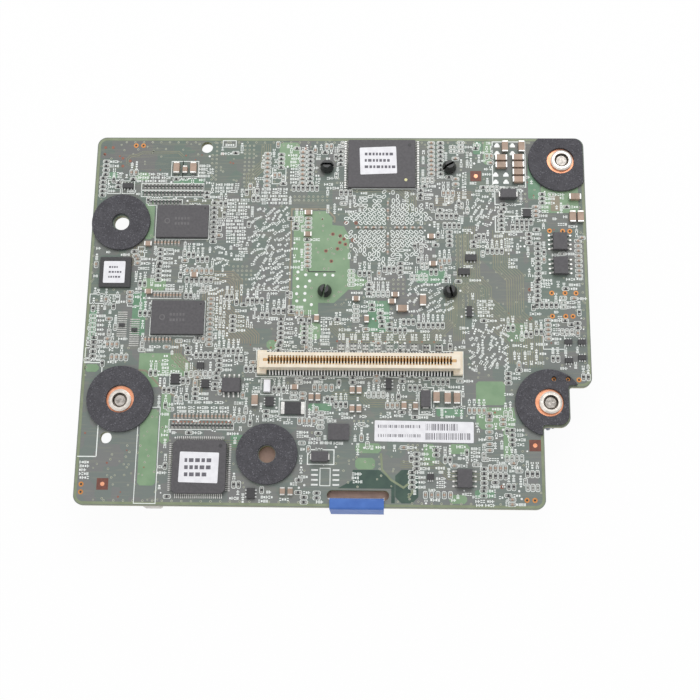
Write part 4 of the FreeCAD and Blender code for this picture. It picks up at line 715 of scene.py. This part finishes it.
def word(x, y, length, turn=0, height=0.76):
    """A run of plain strokes about a place, where the board has small print."""
    ink = layer("silkscreen_print", "silk_print")
    kinds = (           # of each stroke: its offset and its sides
        ((-0.15, 0, 0.2, height), (0.15, 0, 0.2, height)),
        ((0, height * 0.34, 0.5, 0.22), (0, -height * 0.34, 0.5, 0.22)),
        ((0, 0, 0.42, height * 0.7), ),
        ((-0.14, 0, 0.22, height), (0.18, 0, 0.2, 0.3)),
    )
    for i in range(round(length / GLYPH)):
        start = GLYPH * (i + 0.5) - length / 2
        for across, along, wide, tall in kinds[chance.randrange(4)]:
            ink.box(*spin(start + across, along, turn, x, y), wide, tall, SUNK, SILK_TOP, turn)
    room.fill(x, y, *((0.7, 0.7) if turn % 90 else laid(length / 2, height / 2, turn % 180)))


WORD_LENGTHS = (1.92, 2.56, 2.56, 3.2)
PRINT_BLOCKS = (        # x0, y0, x1, y1, and a mark where the lines run up the board
    (11.4, 88.9, 21, 91), (28.3, 90.4, 32.7, 93.5), (33, 85.9, 39.9, 88.3), (17.7, 57.9, 25, 59.5),
    (20.9, 35.2, 23, 38.6), (25.5, 24.6, 40.5, 26.3), (30, 27, 38, 27.4), (45.7, 82.6, 53.2, 86.7),
    (53.4, 88.6, 56, 97), (60.4, 88.6, 62, 97), (102, 92.8, 103.6, 98, 1), (100.3, 84.4, 102, 92),
    (111.5, 69.4, 114, 72.7), (112.5, 64.6, 115, 66.7), (57, 18.3, 60, 19.6), (71.5, 6.6, 74.5, 8.8),
    (101.8, 12.4, 104.6, 16.4), (103, 0.9, 108, 2.2), (44.5, 1.4, 50, 1.8), (121, 60, 125, 72),
    (62.6, 43, 66, 50), (36.4, 66.4, 42.6, 83.6), (2, 62, 11, 66), (34, 44, 37, 56, 1),
    (5.7, 14, 8.4, 24, 1), (45, 27, 51, 31.4), (60, 16.6, 68, 18), (93, 5.6, 99, 8), (116, 28, 121, 34),
    (125, 62, 131, 66), (1, 7, 4, 11), (104, 51, 108.6, 55),
)


def print_blocks():
    """Fills each block with words, in lines across or up the board."""
    for x0, y0, x1, y1, *upright in PRINT_BLOCKS:
        start, stop, low, high = (y0, y1, x0, x1) if upright else (x0, x1, y0, y1)
        for i in range(int(high - low) + 1):
            line, at = low + i, start + chance.uniform(0, 0.3)
            while at < stop - 1.3:
                length = min(chance.choice(WORD_LENGTHS), stop - at)
                x, y = laid(at + length / 2, line, upright)
                if room.free(x, y, *laid(length / 2, 0.35, upright)):
                    word(x, y, length, 90 if upright else 0)
                at += length + 0.4


def print_frames():
    """The silkscreen's frames, bars and one small ring."""
    ink = layer("silkscreen_frames", "silk_white")
    for spot in FRAMES:
        ink.frame(*spot)
    for spot in BOLD_FRAMES:
        ink.frame(*spot, BOLD)
    for x0, y0, x1, y1 in BARS:
        ink.line([(x0, y0), (x1, y1)], BOLD)
    for x, y in row(68.35, 42.1, LAND_PITCH, 0, 9):
        part_frame(x, y, 1.0, 0.95, 0)
    ink.ring(2.6, 85.6, 0.55, 0.75, SUNK, SILK_TOP)


LEANING_WORDS = (       # x0, y0, x1, y1, how many words, lean in degrees
    (44, 58, 54, 81, 110, 35), (103.5, 75.6, 109, 83.6, 34, 70), (102.5, 36.4, 112, 48.5, 74, 60),
    (86, 52, 98, 60, 34, 30), (32.4, 57.4, 37, 70, 26, 0),
)
OVAL_MIDDLE = (80.6, 75.6)


def scatter_marks():
    """Fields of turned words beside the large chips' vias, and a field of ovals in the middle."""
    for x0, y0, x1, y1, count, lean in LEANING_WORDS:
        for _ in range(count * 4):
            x, y = chance.uniform(x0, x1), chance.uniform(y0, y1)
            if count and room.free(x, y, 0.35, 0.35):
                length = chance.choice((1.28, 1.92, 1.92))
                word(x, y, length, lean + chance.choice((-25, -10, 0, 10, 25, 90)), 0.7)
                count -= 1
    ink = layer("silkscreen_ovals", "silk_white")
    middle_x, middle_y = OVAL_MIDDLE
    for x, y in grid(69.2, 65.4, 1.26, 1.28, 19, 17):
        away = math.hypot(x - middle_x, (y - middle_y) * 1.15)
        if abs(x - 80.4) < 0.75 or abs(y - middle_y) < 0.75 or chance.random() > 1.6 - away / 11:
            continue
        x, y = x + chance.uniform(-0.1, 0.1), y + chance.uniform(-0.1, 0.1)
        if away < 12 and room.free(x, y, 0.3, 0.3):
            turn = 45 if (x - middle_x) * (y - middle_y) > 0 else -45
            oval(ink, x, y, 1.2, 0.66, turn + (0 if away < 8 else chance.choice((0, 45, 90))))
            room.fill(x, y, 0.25, 0.25)


def oval(ink, x, y, length, width, turn):
    ends = []
    for side, start in ((1, -90), (-1, 90)):
        for i in range(5):
            angle = math.radians(start + 45 * i)
            a = side * (length - width) / 2 + width / 2 * math.cos(angle)
            ends.append(spin(a, width / 2 * math.sin(angle), turn, x, y))
    ink.line(ends, FINE, closed=True)


# ------------------------ pads, vias and small parts
def via(x, y, size, ring="via_rings", ink="silk_dim"):
    layer(ring, ink).ring(x, y, size * 0.45, size, SUNK, TRACK_TOP, 10)
    layer("via_holes", "hole").disc(x, y, size * 0.5, SUNK, TRACK_TOP * 0.8, 8)


def small_via(x, y, size=0.3):
    via(x, y, size)
    room.fill(x, y, 0.2, 0.2)


def buried_dot(x, y, size, sides=8):
    layer("buried_dots", "rust").disc(x, y, size, SUNK, TRACK_TOP, sides)


def test_dot(x, y, size=0.42):
    layer("test_dots", "tin_pale").disc(x, y, size, SUNK, PAD_TOP, 12)
    room.fill(x, y, size, size)


def part_frame(x, y, length, width, turn):
    """The silkscreen outline about a tiny part, with its corners cut."""
    outline = [spin(a, b, turn, x, y) for a, b in rectangle(-length, -width, length, width, 0.22)]
    layer("part_outlines", "silk_white").line(outline, OUTLINE, closed=True)


def small_part(x, y, upright, body, framed):
    """A tiny two-ended part with its solder; a bare one has only its pads."""
    length, width, height, turn = 1.05, 0.55, 0.42, 90 if upright else 0

    def at_ends(name, reach, wide, tall, high, chamfer=0.0):
        for side in (-1, 1):
            end = spin(side * reach, 0, turn, x, y)
            layer(name, "tin_small").box(*end, wide, tall, SUNK, high, turn, chamfer)

    if framed:
        part_frame(x, y, length / 2 + 0.42, width / 2 + 0.22, turn)
    if body == BARE:
        at_ends("solder_pads", length * 0.42, 0.5, width, PAD_TOP)
        room.fill(x, y, width / 2, width / 2)
        return
    layer("small_bodies_" + body, body).box(x, y, length * 0.66, width, SUNK, height, turn, 0.05)
    at_ends("small_ends", length * 0.32 * 1.2, length * 0.3, width * 1.04, height * 1.03, 0.07)
    at_ends("solder_pads", length / 2 + 0.1, 0.36, width * 1.15, PAD_TOP * 2, 0.06)
    room.fill(x, y, *laid((length + 0.4) / 2, width / 2, upright))


PART_ROWS = (           # x, y, step x, step y, count, body, and a mark where parts lie along their row
    (14, 87.2, 0.98, 0, 17, DARK), (14, 85.3, 0.98, 0, 17, DARK), (15.8, 82.7, 0.98, 0, 9, DARK),
    (16.6, 71, 0.92, 0, 9, PALE), (18.2, 56.2, 0.86, 0, 9, PALE), (16.4, 43.9, 0.94, 0, 8, PALE),
    (25.2, 23.3, 0.98, 0, 16, PALE), (24.8, 20.8, 0.97, 0, 17, DARK), (47.3, 87.6, 0, 1.34, 8, PALE),
    (57, 88.4, 0, 1.3, 8, PALE), (59.1, 88.4, 0, 1.3, 8, DARK), (58.9, 64.6, 0, 1.2, 6, PALE),
    (58.9, 75.6, 0, 1.25, 3, PALE), (92.2, 91.2, 0, 1.3, 8, PALE), (94.7, 91.2, 0, 1.3, 8, DARK),
    (33.4, 42.6, 0, 1.4, 10, PALE), (33.2, 71.4, 0, 1.4, 9, DARK), (120.6, 61.4, 0, 1.4, 8, DARK),
    (131.4, 62.2, 0, 1.4, 8, PALE), (105.4, 5.4, 0, 1.2, 5, DARK), (106.9, 15, 0, 1.6, 7, PALE),
    (90.4, 3.4, 1.6, 0, 5, PALE), (67.9, 42.1, 3.2, 0, 7, BARE), (68.8, 42.1, 3.2, 0, 7, BARE),
    (90.3, 42.1, 3.2, 0, 2, DARK), (91.1, 42.1, 3.2, 0, 2, DARK), (107, 8.4, 1.3, 0, 4, DARK),
    (107, 10.4, 1.3, 0, 4, PALE), (6.3, 44, 0, 5.5, 2, PALE), (98.8, 88.2, 0, 1.5, 6, PALE),
    (26.6, 60.5, 1.3, 0, 6, DARK), (26.6, 63, 1.3, 0, 6, PALE), (72.4, 75.6, 2.1, 0, 4, PALE, 1),
    (82.9, 75.6, 2.1, 0, 4, PALE, 1), (80.4, 68.6, 0, 2.2, 3, PALE, 1), (80.4, 78.2, 0, 2.2, 3, PALE, 1),
    (61.5, 31.2, 1.5, 0, 4, PALE), (46.6, 12.4, 0, 1.5, 6, DARK),
)
BANK_PADS = (
    (110.2, 97.3), (110.2, 99.6), (114.4, 97.3), (114.4, 99.6), (109.7, 91.0), (112.5, 91.0), (109.7, 88.9),
    (112.5, 88.9),
)


def place_bank_pads():
    """Bare solder lands of parts left off the capacitor bank, rounded off at one end."""
    for x, y in BANK_PADS:
        layer("bare_lands", "tin_pale").box(x, y - 0.2, 1.5, 0.7, SUNK, PAD_TOP, 0, 0.03)
        layer("bare_lands").disc(x, y + 0.2, 0.5, SUNK, PAD_TOP * 1.2, 16)
        room.fill(x, y, 0.8, 0.8)


def spare_footprint():
    """The place of a chip that isn't fitted: four solder lands on each side of its printed frame."""
    x, y, pitch, reach = 64.75, 7.62, 1.27, 2.75
    for side in (-1, 1):
        for i in range(4):
            layer("bare_lands").box(x + side * reach, y + (i - 1.5) * pitch, 1.75, 0.5, SUNK, 0.16, 0, 0.08)
    room.fill(x, y, reach + 1.2, 2.8)


def place_part_rows():
    """The rows of tiny parts, the dots and print near the connector, and two small packages on long lands."""
    for x, y, step_x, step_y, count, body, *along in PART_ROWS:
        for a, b in row(x, y, step_x, step_y, count):
            if room.free(a, b, 0.2, 0.2):
                upright = bool(step_x) != bool(along)
                small_part(a, b, upright, body, (step_x if upright else step_y) >= 1.19)
    for x, y in row(67.2, 43.8, LAND_PITCH, 0, 9) + row(25, 21.8, 0.98, 0, 16):
        buried_dot(x, y, 0.28)
    for x, y in row(68.35, 45.0, LAND_PITCH, 0, 9):
        word(x - 0.5, y, 1.92, 90)
        word(x + 0.5, y, 1.92, 90)
    for x, y0, count, body_y in ((9.9, 44.8, 12, 47.8), (13.3, 42.2, 13, 46.5)):
        for a, b in row(x, y0, 0, 0.6, count):
            layer("solder_pads").box(a, b, 2.6, 0.3, SUNK, PAD_TOP)
        layer("small_bodies_chip_dark").box(x, body_y, 1.5, 0.9, SUNK, 0.6, 0, 0.06)
        room.take(x - 1.4, y0, x + 1.4, y0 + 0.6 * count)


VIA_GRIDS = (
    (32, 89.4, 1.2, 1.2, 2, 10), (41, 88.6, 1.2, 1.2, 3, 10), (39, 60.8, 1.2, 1.2, 6, 4),
    (55, 84.5, 1.27, 0, 8, 1), (55, 83.4, 1.27, 0, 8, 1), (8, 100.4, 2.4, 0, 52, 1),
    (82, 57, 1.3, 1.3, 4, 4), (98.8, 64, 1.3, 1.3, 3, 8), (100.6, 54, 1.2, 1.2, 2, 6),
    (8, 1.2, 2.5, 0, 22, 1), (87, 1.2, 2.5, 0, 10, 1), (0.9, 60, 0, 2.4, 1, 10), (132.2, 36, 0, 2.4, 1, 26),
    (62, 5, 1.3, 1.3, 1, 4), (37, 9.4, 1.2, 1.2, 5, 4), (72, 22.4, 1.2, 1.2, 10, 1),
    (119, 100.4, 2.2, 0, 3, 1), (86, 15, 1.2, 1.2, 3, 4), (5, 30, 1.3, 1.3, 2, 4),
    (24.6, 36.6, 1.2, 1.2, 3, 3), (51, 7, 1.3, 1.3, 4, 3), (121, 88.4, 1.3, 1.3, 3, 2),
)
LARGE_VIAS = (
    (65.6, 73.7), (67.6, 73.2), (68.6, 72.3), (67.5, 71.3), (69, 70.8), (66.9, 69.5), (63.8, 68.9),
    (65.3, 66), (69, 77), (71.8, 76.9), (71, 72), (118.2, 73.9), (118.2, 58.3), (118.2, 50.3), (109.9, 5.6),
)
PLATED_RINGS = (
    (10.7, 99.4), (12.7, 99.4), (1.9, 5.3), (1.9, 3.3), (123.9, 74.9), (127.4, 74.8), (129.3, 74.8),
    (124, 57.4), (127.5, 57.4), (130.4, 57.4), (124, 51), (127.5, 51), (129.4, 51), (123.9, 33.8),
    (127.5, 33.8), (130.4, 33.8), (116.2, 2.3), (118.2, 2.3),
)
BURIED_DOTS = (
    (2.2, 98.8), (4.3, 98.8), (2.1, 96.8), (7.2, 95.6), (9.3, 94.8), (7.3, 93.3), (34.8, 97), (57.6, 98.6),
)
TEST_DOTS = (
    (56.4, 62.9), (58.5, 62.1), (61.4, 62.2), (63.6, 62.1), (65.8, 62), (56.3, 61), (59.6, 60.4),
    (56.5, 58.8), (58.5, 58.8), (56.2, 56.8), (58.4, 56.9), (56.3, 54.8), (58.4, 55), (60.2, 53.8),
)
FIDUCIALS = ((7.4, 5.4), (104.3, 90.6), (118.6, 16.4))


def place_vias():
    """Vias in grids, the single large and plated ones, test dots and the squares that machines aim by."""
    for x, y, step_x, step_y, columns, rows in VIA_GRIDS:
        for a, b in grid(x, y, step_x, step_y, columns, rows):
            if room.free(a, b, 0.25, 0.25):
                small_via(a, b)
    for x, y in LARGE_VIAS:
        via(x, y, 0.5, "large_via_rings", "rust")
    for x, y in PLATED_RINGS:
        via(x, y, 0.68, "plated_rings", "amber")
        room.fill(x, y, 0.7, 0.7)
    for x, y in BURIED_DOTS:
        buried_dot(x, y, 0.42, 12)
    for x, y in TEST_DOTS:
        test_dot(x, y)
    for x, y in FIDUCIALS:
        layer("fiducial_squares", "brown").box(x, y, 3.0, 3.0, SUNK, POUR_TOP)
        layer("fiducial_dots", "copper").disc(x, y, 0.55, SUNK, PAD_TOP, 20)
        room.fill(x, y, 1.6, 1.6)


QUIET_PLACES = (        # where the board has buried runs and vias, with hardly any print
    (0, 0, 15.2, 24), (15, 0, 22, 27), (0, 24, 5, 37), (0, 91.5, 31, 101.5), (31.5, 88, 45, 97),
    (66, 2, 86, 15), (116.5, 81.2, 121.8, 87.2), (60, 52, 70, 80), (56, 52, 61, 64), (104, 50, 118, 68),
    (36, 58, 47, 65), (40, 42, 52, 48), (100.5, 26, 112, 38), (76, 22, 80, 30), (117, 0, 123, 15),
    (8, 36, 21, 41), (92, 44, 100, 56), (121, 47, 125, 54), (54, 81, 66, 86), (79, 0, 90, 4),
)
DOT_TRIES, VIA_TRIES = 160, 1800


def fill_free_places(parts, words, dots, quiet_places):
    """The crowd of tiny parts, print, test dots and vias between what has a place of its own."""
    def spot(quiet=False):
        """A place on the board, and outside the quiet ones unless asked for."""
        while True:
            x, y = chance.uniform(1, WIDTH - 1), chance.uniform(1, DEPTH - 1)
            if quiet or not any(x0 < x < x1 and y0 < y < y1 for x0, y0, x1, y1 in quiet_places):
                return x, y

    for _ in range(parts):
        upright, count = chance.random() < 0.5, chance.randrange(1, 7)
        step_x, step_y = (1.26, 0) if upright else (0, 1.26)
        body = chance.choice((PALE, DARK, DARK, DARK, BARE))
        start_x, start_y = spot()
        placed = []
        for x, y in row(start_x, start_y, step_x, step_y, count):
            if not room.free(x, y, *laid(0.72, 0.34, upright)):
                break
            small_part(x, y, upright, body, True)
            placed.append((x, y))
        for x, y in placed:
            a, b = (x, y + 2.2) if upright else (x + 2.2, y)
            if room.free(a, b, *laid(0.9, 0.3, upright)):
                word(a, b, chance.choice((1.92, 2.56)), 90 if upright else 0)
    for _ in range(words):
        upright = chance.random() < 0.4
        length = chance.choice((1.28, *WORD_LENGTHS))
        x, y = spot()
        if room.free(x, y, *laid(length / 2, 0.36, upright)):
            word(x, y, length, 90 if upright else 0)
    for count, mark, reach, sizes in (
            (dots, test_dot, 0.25, (0.2, 0.24, 0.3)), (DOT_TRIES, buried_dot, 0.3, (0.2, 0.28)),
            (VIA_TRIES, small_via, 0.25, (0.22, 0.26, 0.3))):
        for _ in range(count):
            x, y = spot(mark is not test_dot)
            if room.free(x, y, reach, reach):
                mark(x, y, chance.choice(sizes))


def outline_parts():
    """Silkscreen outlines, each with a dot at one corner, about the large parts of the component side."""
    for name in ("component_side_memory", "filter_coils", "polymer_capacitors"):
        for low, high in flat_tops(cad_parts[name], -1, UNDER):
            layer("silkscreen_frames").frame(low[0] - 0.5, low[1] - 0.5, high[0] + 0.5, high[1] + 0.5)
            layer("silkscreen_frames").disc(low[0] - 1.0, high[1] + 0.2, 0.25, SUNK, SILK_TOP)
            room.take(low[0] - 1.3, low[1] - 0.8, high[0] + 0.8, high[1] + 0.8)


# ------------------------ marks on chips and labels
def label_lines(node, rows, left=0.14, right=0.14, tall=0.8):
    """Generic print on a label: each line a run of plain blocks."""
    x0, y0, x1, y1, top = top_of(node)
    ink = layer("label_print", "ink")
    for i in range(rows):
        y = y0 + (y1 - y0) * (0.16 + 0.68 * (i + 0.5) / rows)
        x, stop = x0 + (x1 - x0) * left, x1 - (x1 - x0) * (right + chance.choice((0.0, 0.12)))
        while x < stop:
            wide = chance.choice((0.7, 0.9, 1.2)) * tall
            ink.box(x + wide / 2, y, wide, tall, top + SUNK, top + 0.012)
            x += wide + 0.42 * tall


def bar_strip(node, start, stop, low, high):
    """Upright bars across part of a label, from start to stop and low to high in shares of its sides."""
    x0, y0, x1, y1, top = top_of(node)
    ink = layer("label_print", "ink")
    x, end, tall = x0 + (x1 - x0) * start, x0 + (x1 - x0) * stop, y1 - y0
    while x < end:
        wide = chance.choice((0.1, 0.16, 0.26))
        ink.box(x, y0 + tall * (low + high) / 2, wide, tall * (high - low), top + SUNK, top + 0.012)
        x += wide + chance.choice((0.16, 0.22, 0.34))


CENTRE_HOLE = (49.6, 13.5)
CRYSTAL = (49.15, 31.4)


def paint_shade_under_openings():
    """Painted shade: a brown sheet on the underside, under the pull tab's slot and the centre washer's hole,
    which shows through them as the shaded floor would.
    """
    painted_shade_brown = layer("painted_floor_shade", "painted_shade_brown")
    x0, _, x1, _, _ = top_of("pull_tab")
    painted_shade_brown.prism(rectangle(x0 - 1, 2.6, x1 + 0.1, 5.4, 0.3), SUNK, PAD_TOP)
    painted_shade_brown.prism(rectangle(x1 + 0.1, 1.2, x1 + 2.2, 5.4, 0.3), SUNK, PAD_TOP)
    painted_shade_brown.disc(*CENTRE_HOLE, 3.2, SUNK, PAD_TOP, 40)
    room.fill(73, 3.4, 9, 2.3)
    room.fill(*CENTRE_HOLE, 3.4, 3.4)


def connector_faces():
    """Gold faces between the connector's grooves, and one at each end of its rows."""
    x0, y0, x1, y1, _ = top_of("mezzanine_contacts")
    foot = top_of("mezzanine_housing")[4]
    middle = (y0 + y1) / 2
    pitch = (x1 - x0 - CONTACT_WIDTH) / (CONTACTS - 1)
    faces = layer("contact_faces", "face_gold")
    for x, y in row(x0 + CONTACT_WIDTH / 2 + pitch / 2, middle + 0.15, pitch, 0, CONTACTS - 1):
        faces.box(x, y, pitch - GROOVE, 0.95, foot - 0.5, foot + 0.012, 0, 0.05)
    for x in (x0 - 0.75, x1 + 0.75):
        faces.box(x, middle, 1.1, 0.9, foot - 0.5, foot + 0.012, 0, 0.05)


def white_crystal():
    """The pale metal lid of the crystal left of the connector, over its ceramic body."""
    layer("crystal_lid", "paper").box(*CRYSTAL, 1.75, 3.3, PAD_TOP, 1.34, 0, 0.12)


def tops_of(node):
    """The boxes of a node's flat tops on the mating face, from left to right."""
    tops = set()
    for low, high in flat_tops(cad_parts[node], 1, FACE):
        tops.add(tuple(round(place, 2) for place in (*low, *high)))
    return sorted(tops)


def small_chip_leads():
    """Plated leads, three down each long side of the small chips."""
    leads = layer("small_chip_leads", "tin_pale")
    for x0, y0, x1, y1 in tops_of("small_chips"):
        middle_x, middle_y = (x0 + x1) / 2, (y0 + y1) / 2
        upright = y1 - y0 > x1 - x0
        long, short = max(x1 - x0, y1 - y0), min(x1 - x0, y1 - y0)
        for i in (-1, 0, 1):
            for side in (-1, 1):
                x, y = laid(i * 0.32 * long, side * short / 2, upright)
                leads.box(middle_x + x, middle_y + y, *laid(0.36, 0.9, upright), SUNK, 0.26, 0, 0.06)


def dimple(x, y, radius, top):
    layer("moulded_dimples", "chip_dark").disc(x, y, radius, top + SUNK, top + 0.006, 24)


def memory_marks():
    """A dimple at one corner of each memory chip, and moulded print of plain blocks over its middle."""
    top = top_of("memory_chips")[4]
    marks = layer("moulded_print", "chip_print")
    for x0, y0, x1, y1 in tops_of("memory_chips"):
        middle = (y0 + y1) / 2
        dimple(x1 - 0.95, y1 - 0.95, 0.38, top)
        marks.ring(x1 - 0.95, y1 - 0.95, 0.38, 0.46, top + SUNK, top + 0.008, 24)
        marks.ring(x0 + 2.9, middle, 0.5, 0.8, top + SUNK, top + 0.006, 28)
        for y in (-0.75, 0.75):
            for place in row(x0 + 5.2, middle + y, 0.85, 0, 5):
                marks.box(*place, chance.choice((0.5, 0.62)), 0.72, top + SUNK, top + 0.006)


def wind_springs():
    """The captive screws' springs, of round wire, wound in the place of the CAD springs, which are hidden."""
    wire, steps = SPRING_WIRE / 2, round(SPRING_TURNS * SPRING_STEPS)
    for side in SCREW_SIDES:
        low, high = (Vector(corner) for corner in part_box("screw_spring_" + side))
        middle = (low + high) / 2
        x, y, foot = ((middle.x - LEFT) / MM, (middle.y - FRONT) / MM, (low.z - FACE) / MM)
        radius, tall = (high.y - low.y) / 2 / MM - wire, (high.z - low.z) / MM
        coil, rings = Layer("wound_spring_" + side, "steel"), []
        for step in range(steps + 1):
            angle = math.tau * SPRING_TURNS * step / steps
            rise = min(max(step / SPRING_STEPS - DEAD_TURN, 0) / (SPRING_TURNS - 2 * DEAD_TURN), 1)
            height = foot + wire + rise * (tall - 2 * wire)
            across, along = math.cos(angle), math.sin(angle)
            section = [(radius + a, height - b) for a, b in circle(0, 0, wire, WIRE_SIDES)]
            rings.append([(x + out * across, y + out * along, level) for out, level in section])
        coil.stack(rings)
        # The wire's faces are twisted, and a face's first corner says along which line it is split.
        coil.faces = [face[1:] + face[:1] for face in coil.faces]
        spring = coil.make()
        spring.data.shade_smooth()
        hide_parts("screw_spring_" + side)
        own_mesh(spring)


def chip_marks():
    """Moulded dimples and a pale marker on the chips."""
    _, y0, x1, _, top = top_of("flash_chip")
    layer("marker_dots", "dot").disc(x1 - 2.6, y0 + 2.2, 0.42, top + SUNK, top + 0.01, 20)
    for node in ("logic_chip", "flash_chip"):
        _, _, x1, y1, top = top_of(node)
        dimple(x1 - 1.6, y1 - 1.6, 0.5, top)


# ------------------------ floor, light and camera
FLOOR_REACH = 1.6
SHADE_SCALE = (1 / 0.055, 1 / 0.048, 0)         # one over the half sides of the shade on the floor
LIGHT_AIM = (0, 0, 0.013)
CAMERA_PLACE = (79.469, -36.3, 304.841)         # millimetres from the board's lower left front corner
CAMERA_AIM = (-0.02814, 0.24816, -0.96831)
CAMERA_ROLL, CAMERA_LENS = -5.872, 61.17        # degrees, millimetres


def glow_to_camera(tree, shader, glow_kind, strength, output):
    """Mixes a plain white glow into a shader for camera, mirror and glass rays only."""
    rays = add_node(tree, "LightPath", {}).outputs
    seen = add_node(tree, "Math", {0: rays["Is Camera Ray"], 1: rays["Is Glossy Ray"]}, operation="MAXIMUM")
    also = add_node(tree, "Math", {0: seen.outputs[0], 1: rays["Is Transmission Ray"]}, operation="MAXIMUM")
    share = add_node(tree, "Math", {0: also.outputs[0], 1: strength}, operation="MULTIPLY")
    glow = add_node(tree, glow_kind, {"Color": WHITE})
    mix = add_node(tree, "MixShader", {"Fac": share.outputs[0], 1: shader.outputs[0], 2: glow.outputs[0]})
    tree.links.new(mix.outputs[0], tree.nodes[output].inputs["Surface"])


def shade_under_card(shader, strength):
    """The floor's glow, which fades out under the middle of the card to let the floor's own shade show."""
    spread = shader.node("Mapping", {"Vector": shader.place, "Scale": SHADE_SCALE}).outputs["Vector"]
    outward = shader.node("VectorMath", {0: spread}, operation="ABSOLUTE").outputs["Vector"]
    far = shader.math("MAXIMUM", shader.part(outward, "X"), shader.part(outward, "Y"))
    fade = {"Value": far, "From Min": 0.94, "From Max": 1.0, "To Min": 0.0, "To Max": strength}
    return shader.node("MapRange", fade).outputs["Result"]


def make_floor():
    mesh = bpy.data.meshes.new("studio_floor")
    corners = [(x * FLOOR_REACH, y * FLOOR_REACH, 0) for x, y in ((-1, -1), (1, -1), (1, 1), (-1, 1))]
    mesh.from_pydata(corners, [], [[0, 1, 2, 3]])
    floor = put("studio_floor", mesh)
    floor.location.z = cad_box[0][2] - 0.02 * MM
    shader = Shader("studio_floor")
    shader.set(Base_Color=(0.94, 0.94, 0.94, 1), Roughness=0.9)
    strength = shade_under_card(shader, 0.95)
    glow_to_camera(shader.tree, shader.body, "Emission", strength, "Material Output")
    mesh.materials.append(shader.material)


def light_world(level):
    world = bpy.data.worlds.new("studio")
    bpy.context.scene.world = world
    world.use_nodes = True
    body = world.node_tree.nodes["Background"]
    body.inputs["Color"].default_value = WHITE
    body.inputs["Strength"].default_value = level
    glow_to_camera(world.node_tree, body, "Background", 1.0, "World Output")


def area_light(name, place, size, share):
    """A square lamp aimed at the card, which adds the given share of a level surface's own colour."""
    lamp = bpy.data.lights.new(name, "AREA")
    lamp.size = size
    item = put(name, lamp)
    way = Vector(LIGHT_AIM) - Vector(place)
    item.location = place
    item.rotation_euler = way.to_track_quat("-Z", "Y").to_euler()
    lamp.energy = share * math.pi ** 2 * way.length_squared / (abs(way.z) / way.length)


def make_camera():
    camera = put("camera", bpy.data.cameras.new("camera"))
    forward = Vector(CAMERA_AIM).normalized()
    right = forward.cross(Vector((0, 0, 1))).normalized()
    up = right.cross(forward)
    roll = math.radians(CAMERA_ROLL)
    across = right * math.cos(roll) + up * math.sin(roll)
    upward = up * math.cos(roll) - right * math.sin(roll)
    turn = Matrix((across, upward, -forward)).transposed().to_4x4()
    place = [start + step * MM for start, step in zip(BOARD[0], CAMERA_PLACE)]
    camera.matrix_world = Matrix.Translation(place) @ turn
    camera.data.sensor_width = 36
    camera.data.lens = CAMERA_LENS
    camera.data.clip_start = 0.01
    bpy.context.scene.camera = camera


# ------------------------ the whole
dress_nodes()
lay_copper()
lay_edges()
lay_tracks()
print_frames()
place_bank_pads()
spare_footprint()
place_part_rows()
scatter_marks()
print_blocks()
place_vias()
fill_free_places(1500, 12000, 700, QUIET_PLACES)
label_lines("flash_label", 3)
label_lines("logic_label", 3, tall=1.0)
label_lines("side_label", 3, 0.24, 0.24, tall=0.5)
for low, high, stop in ((0.56, 0.86, 0.84), (0.14, 0.44, 0.97)):
    bar_strip("serial_label", 0.52, stop, low, high)
    bar_strip("serial_label", 0.04, 0.46, low + 0.1, high - 0.06)
chip_marks()
connector_faces()
white_crystal()
small_chip_leads()
memory_marks()

room = Room(LOOPS, below=True)
room.take_nodes()
paint_shade_under_openings()
outline_parts()
fill_free_places(420, 260, 240, ())
for solids in LAYERS.values():
    solids.make()
wind_springs()

make_floor()
light_world(0.62)
area_light("key", (0.06, 0.42, 0.62), 0.5, 0.34)
area_light("fill", (-0.5, -0.3, 0.6), 0.6, 0.06)
make_camera()
bpy.context.scene.view_settings.view_transform = "Standard"
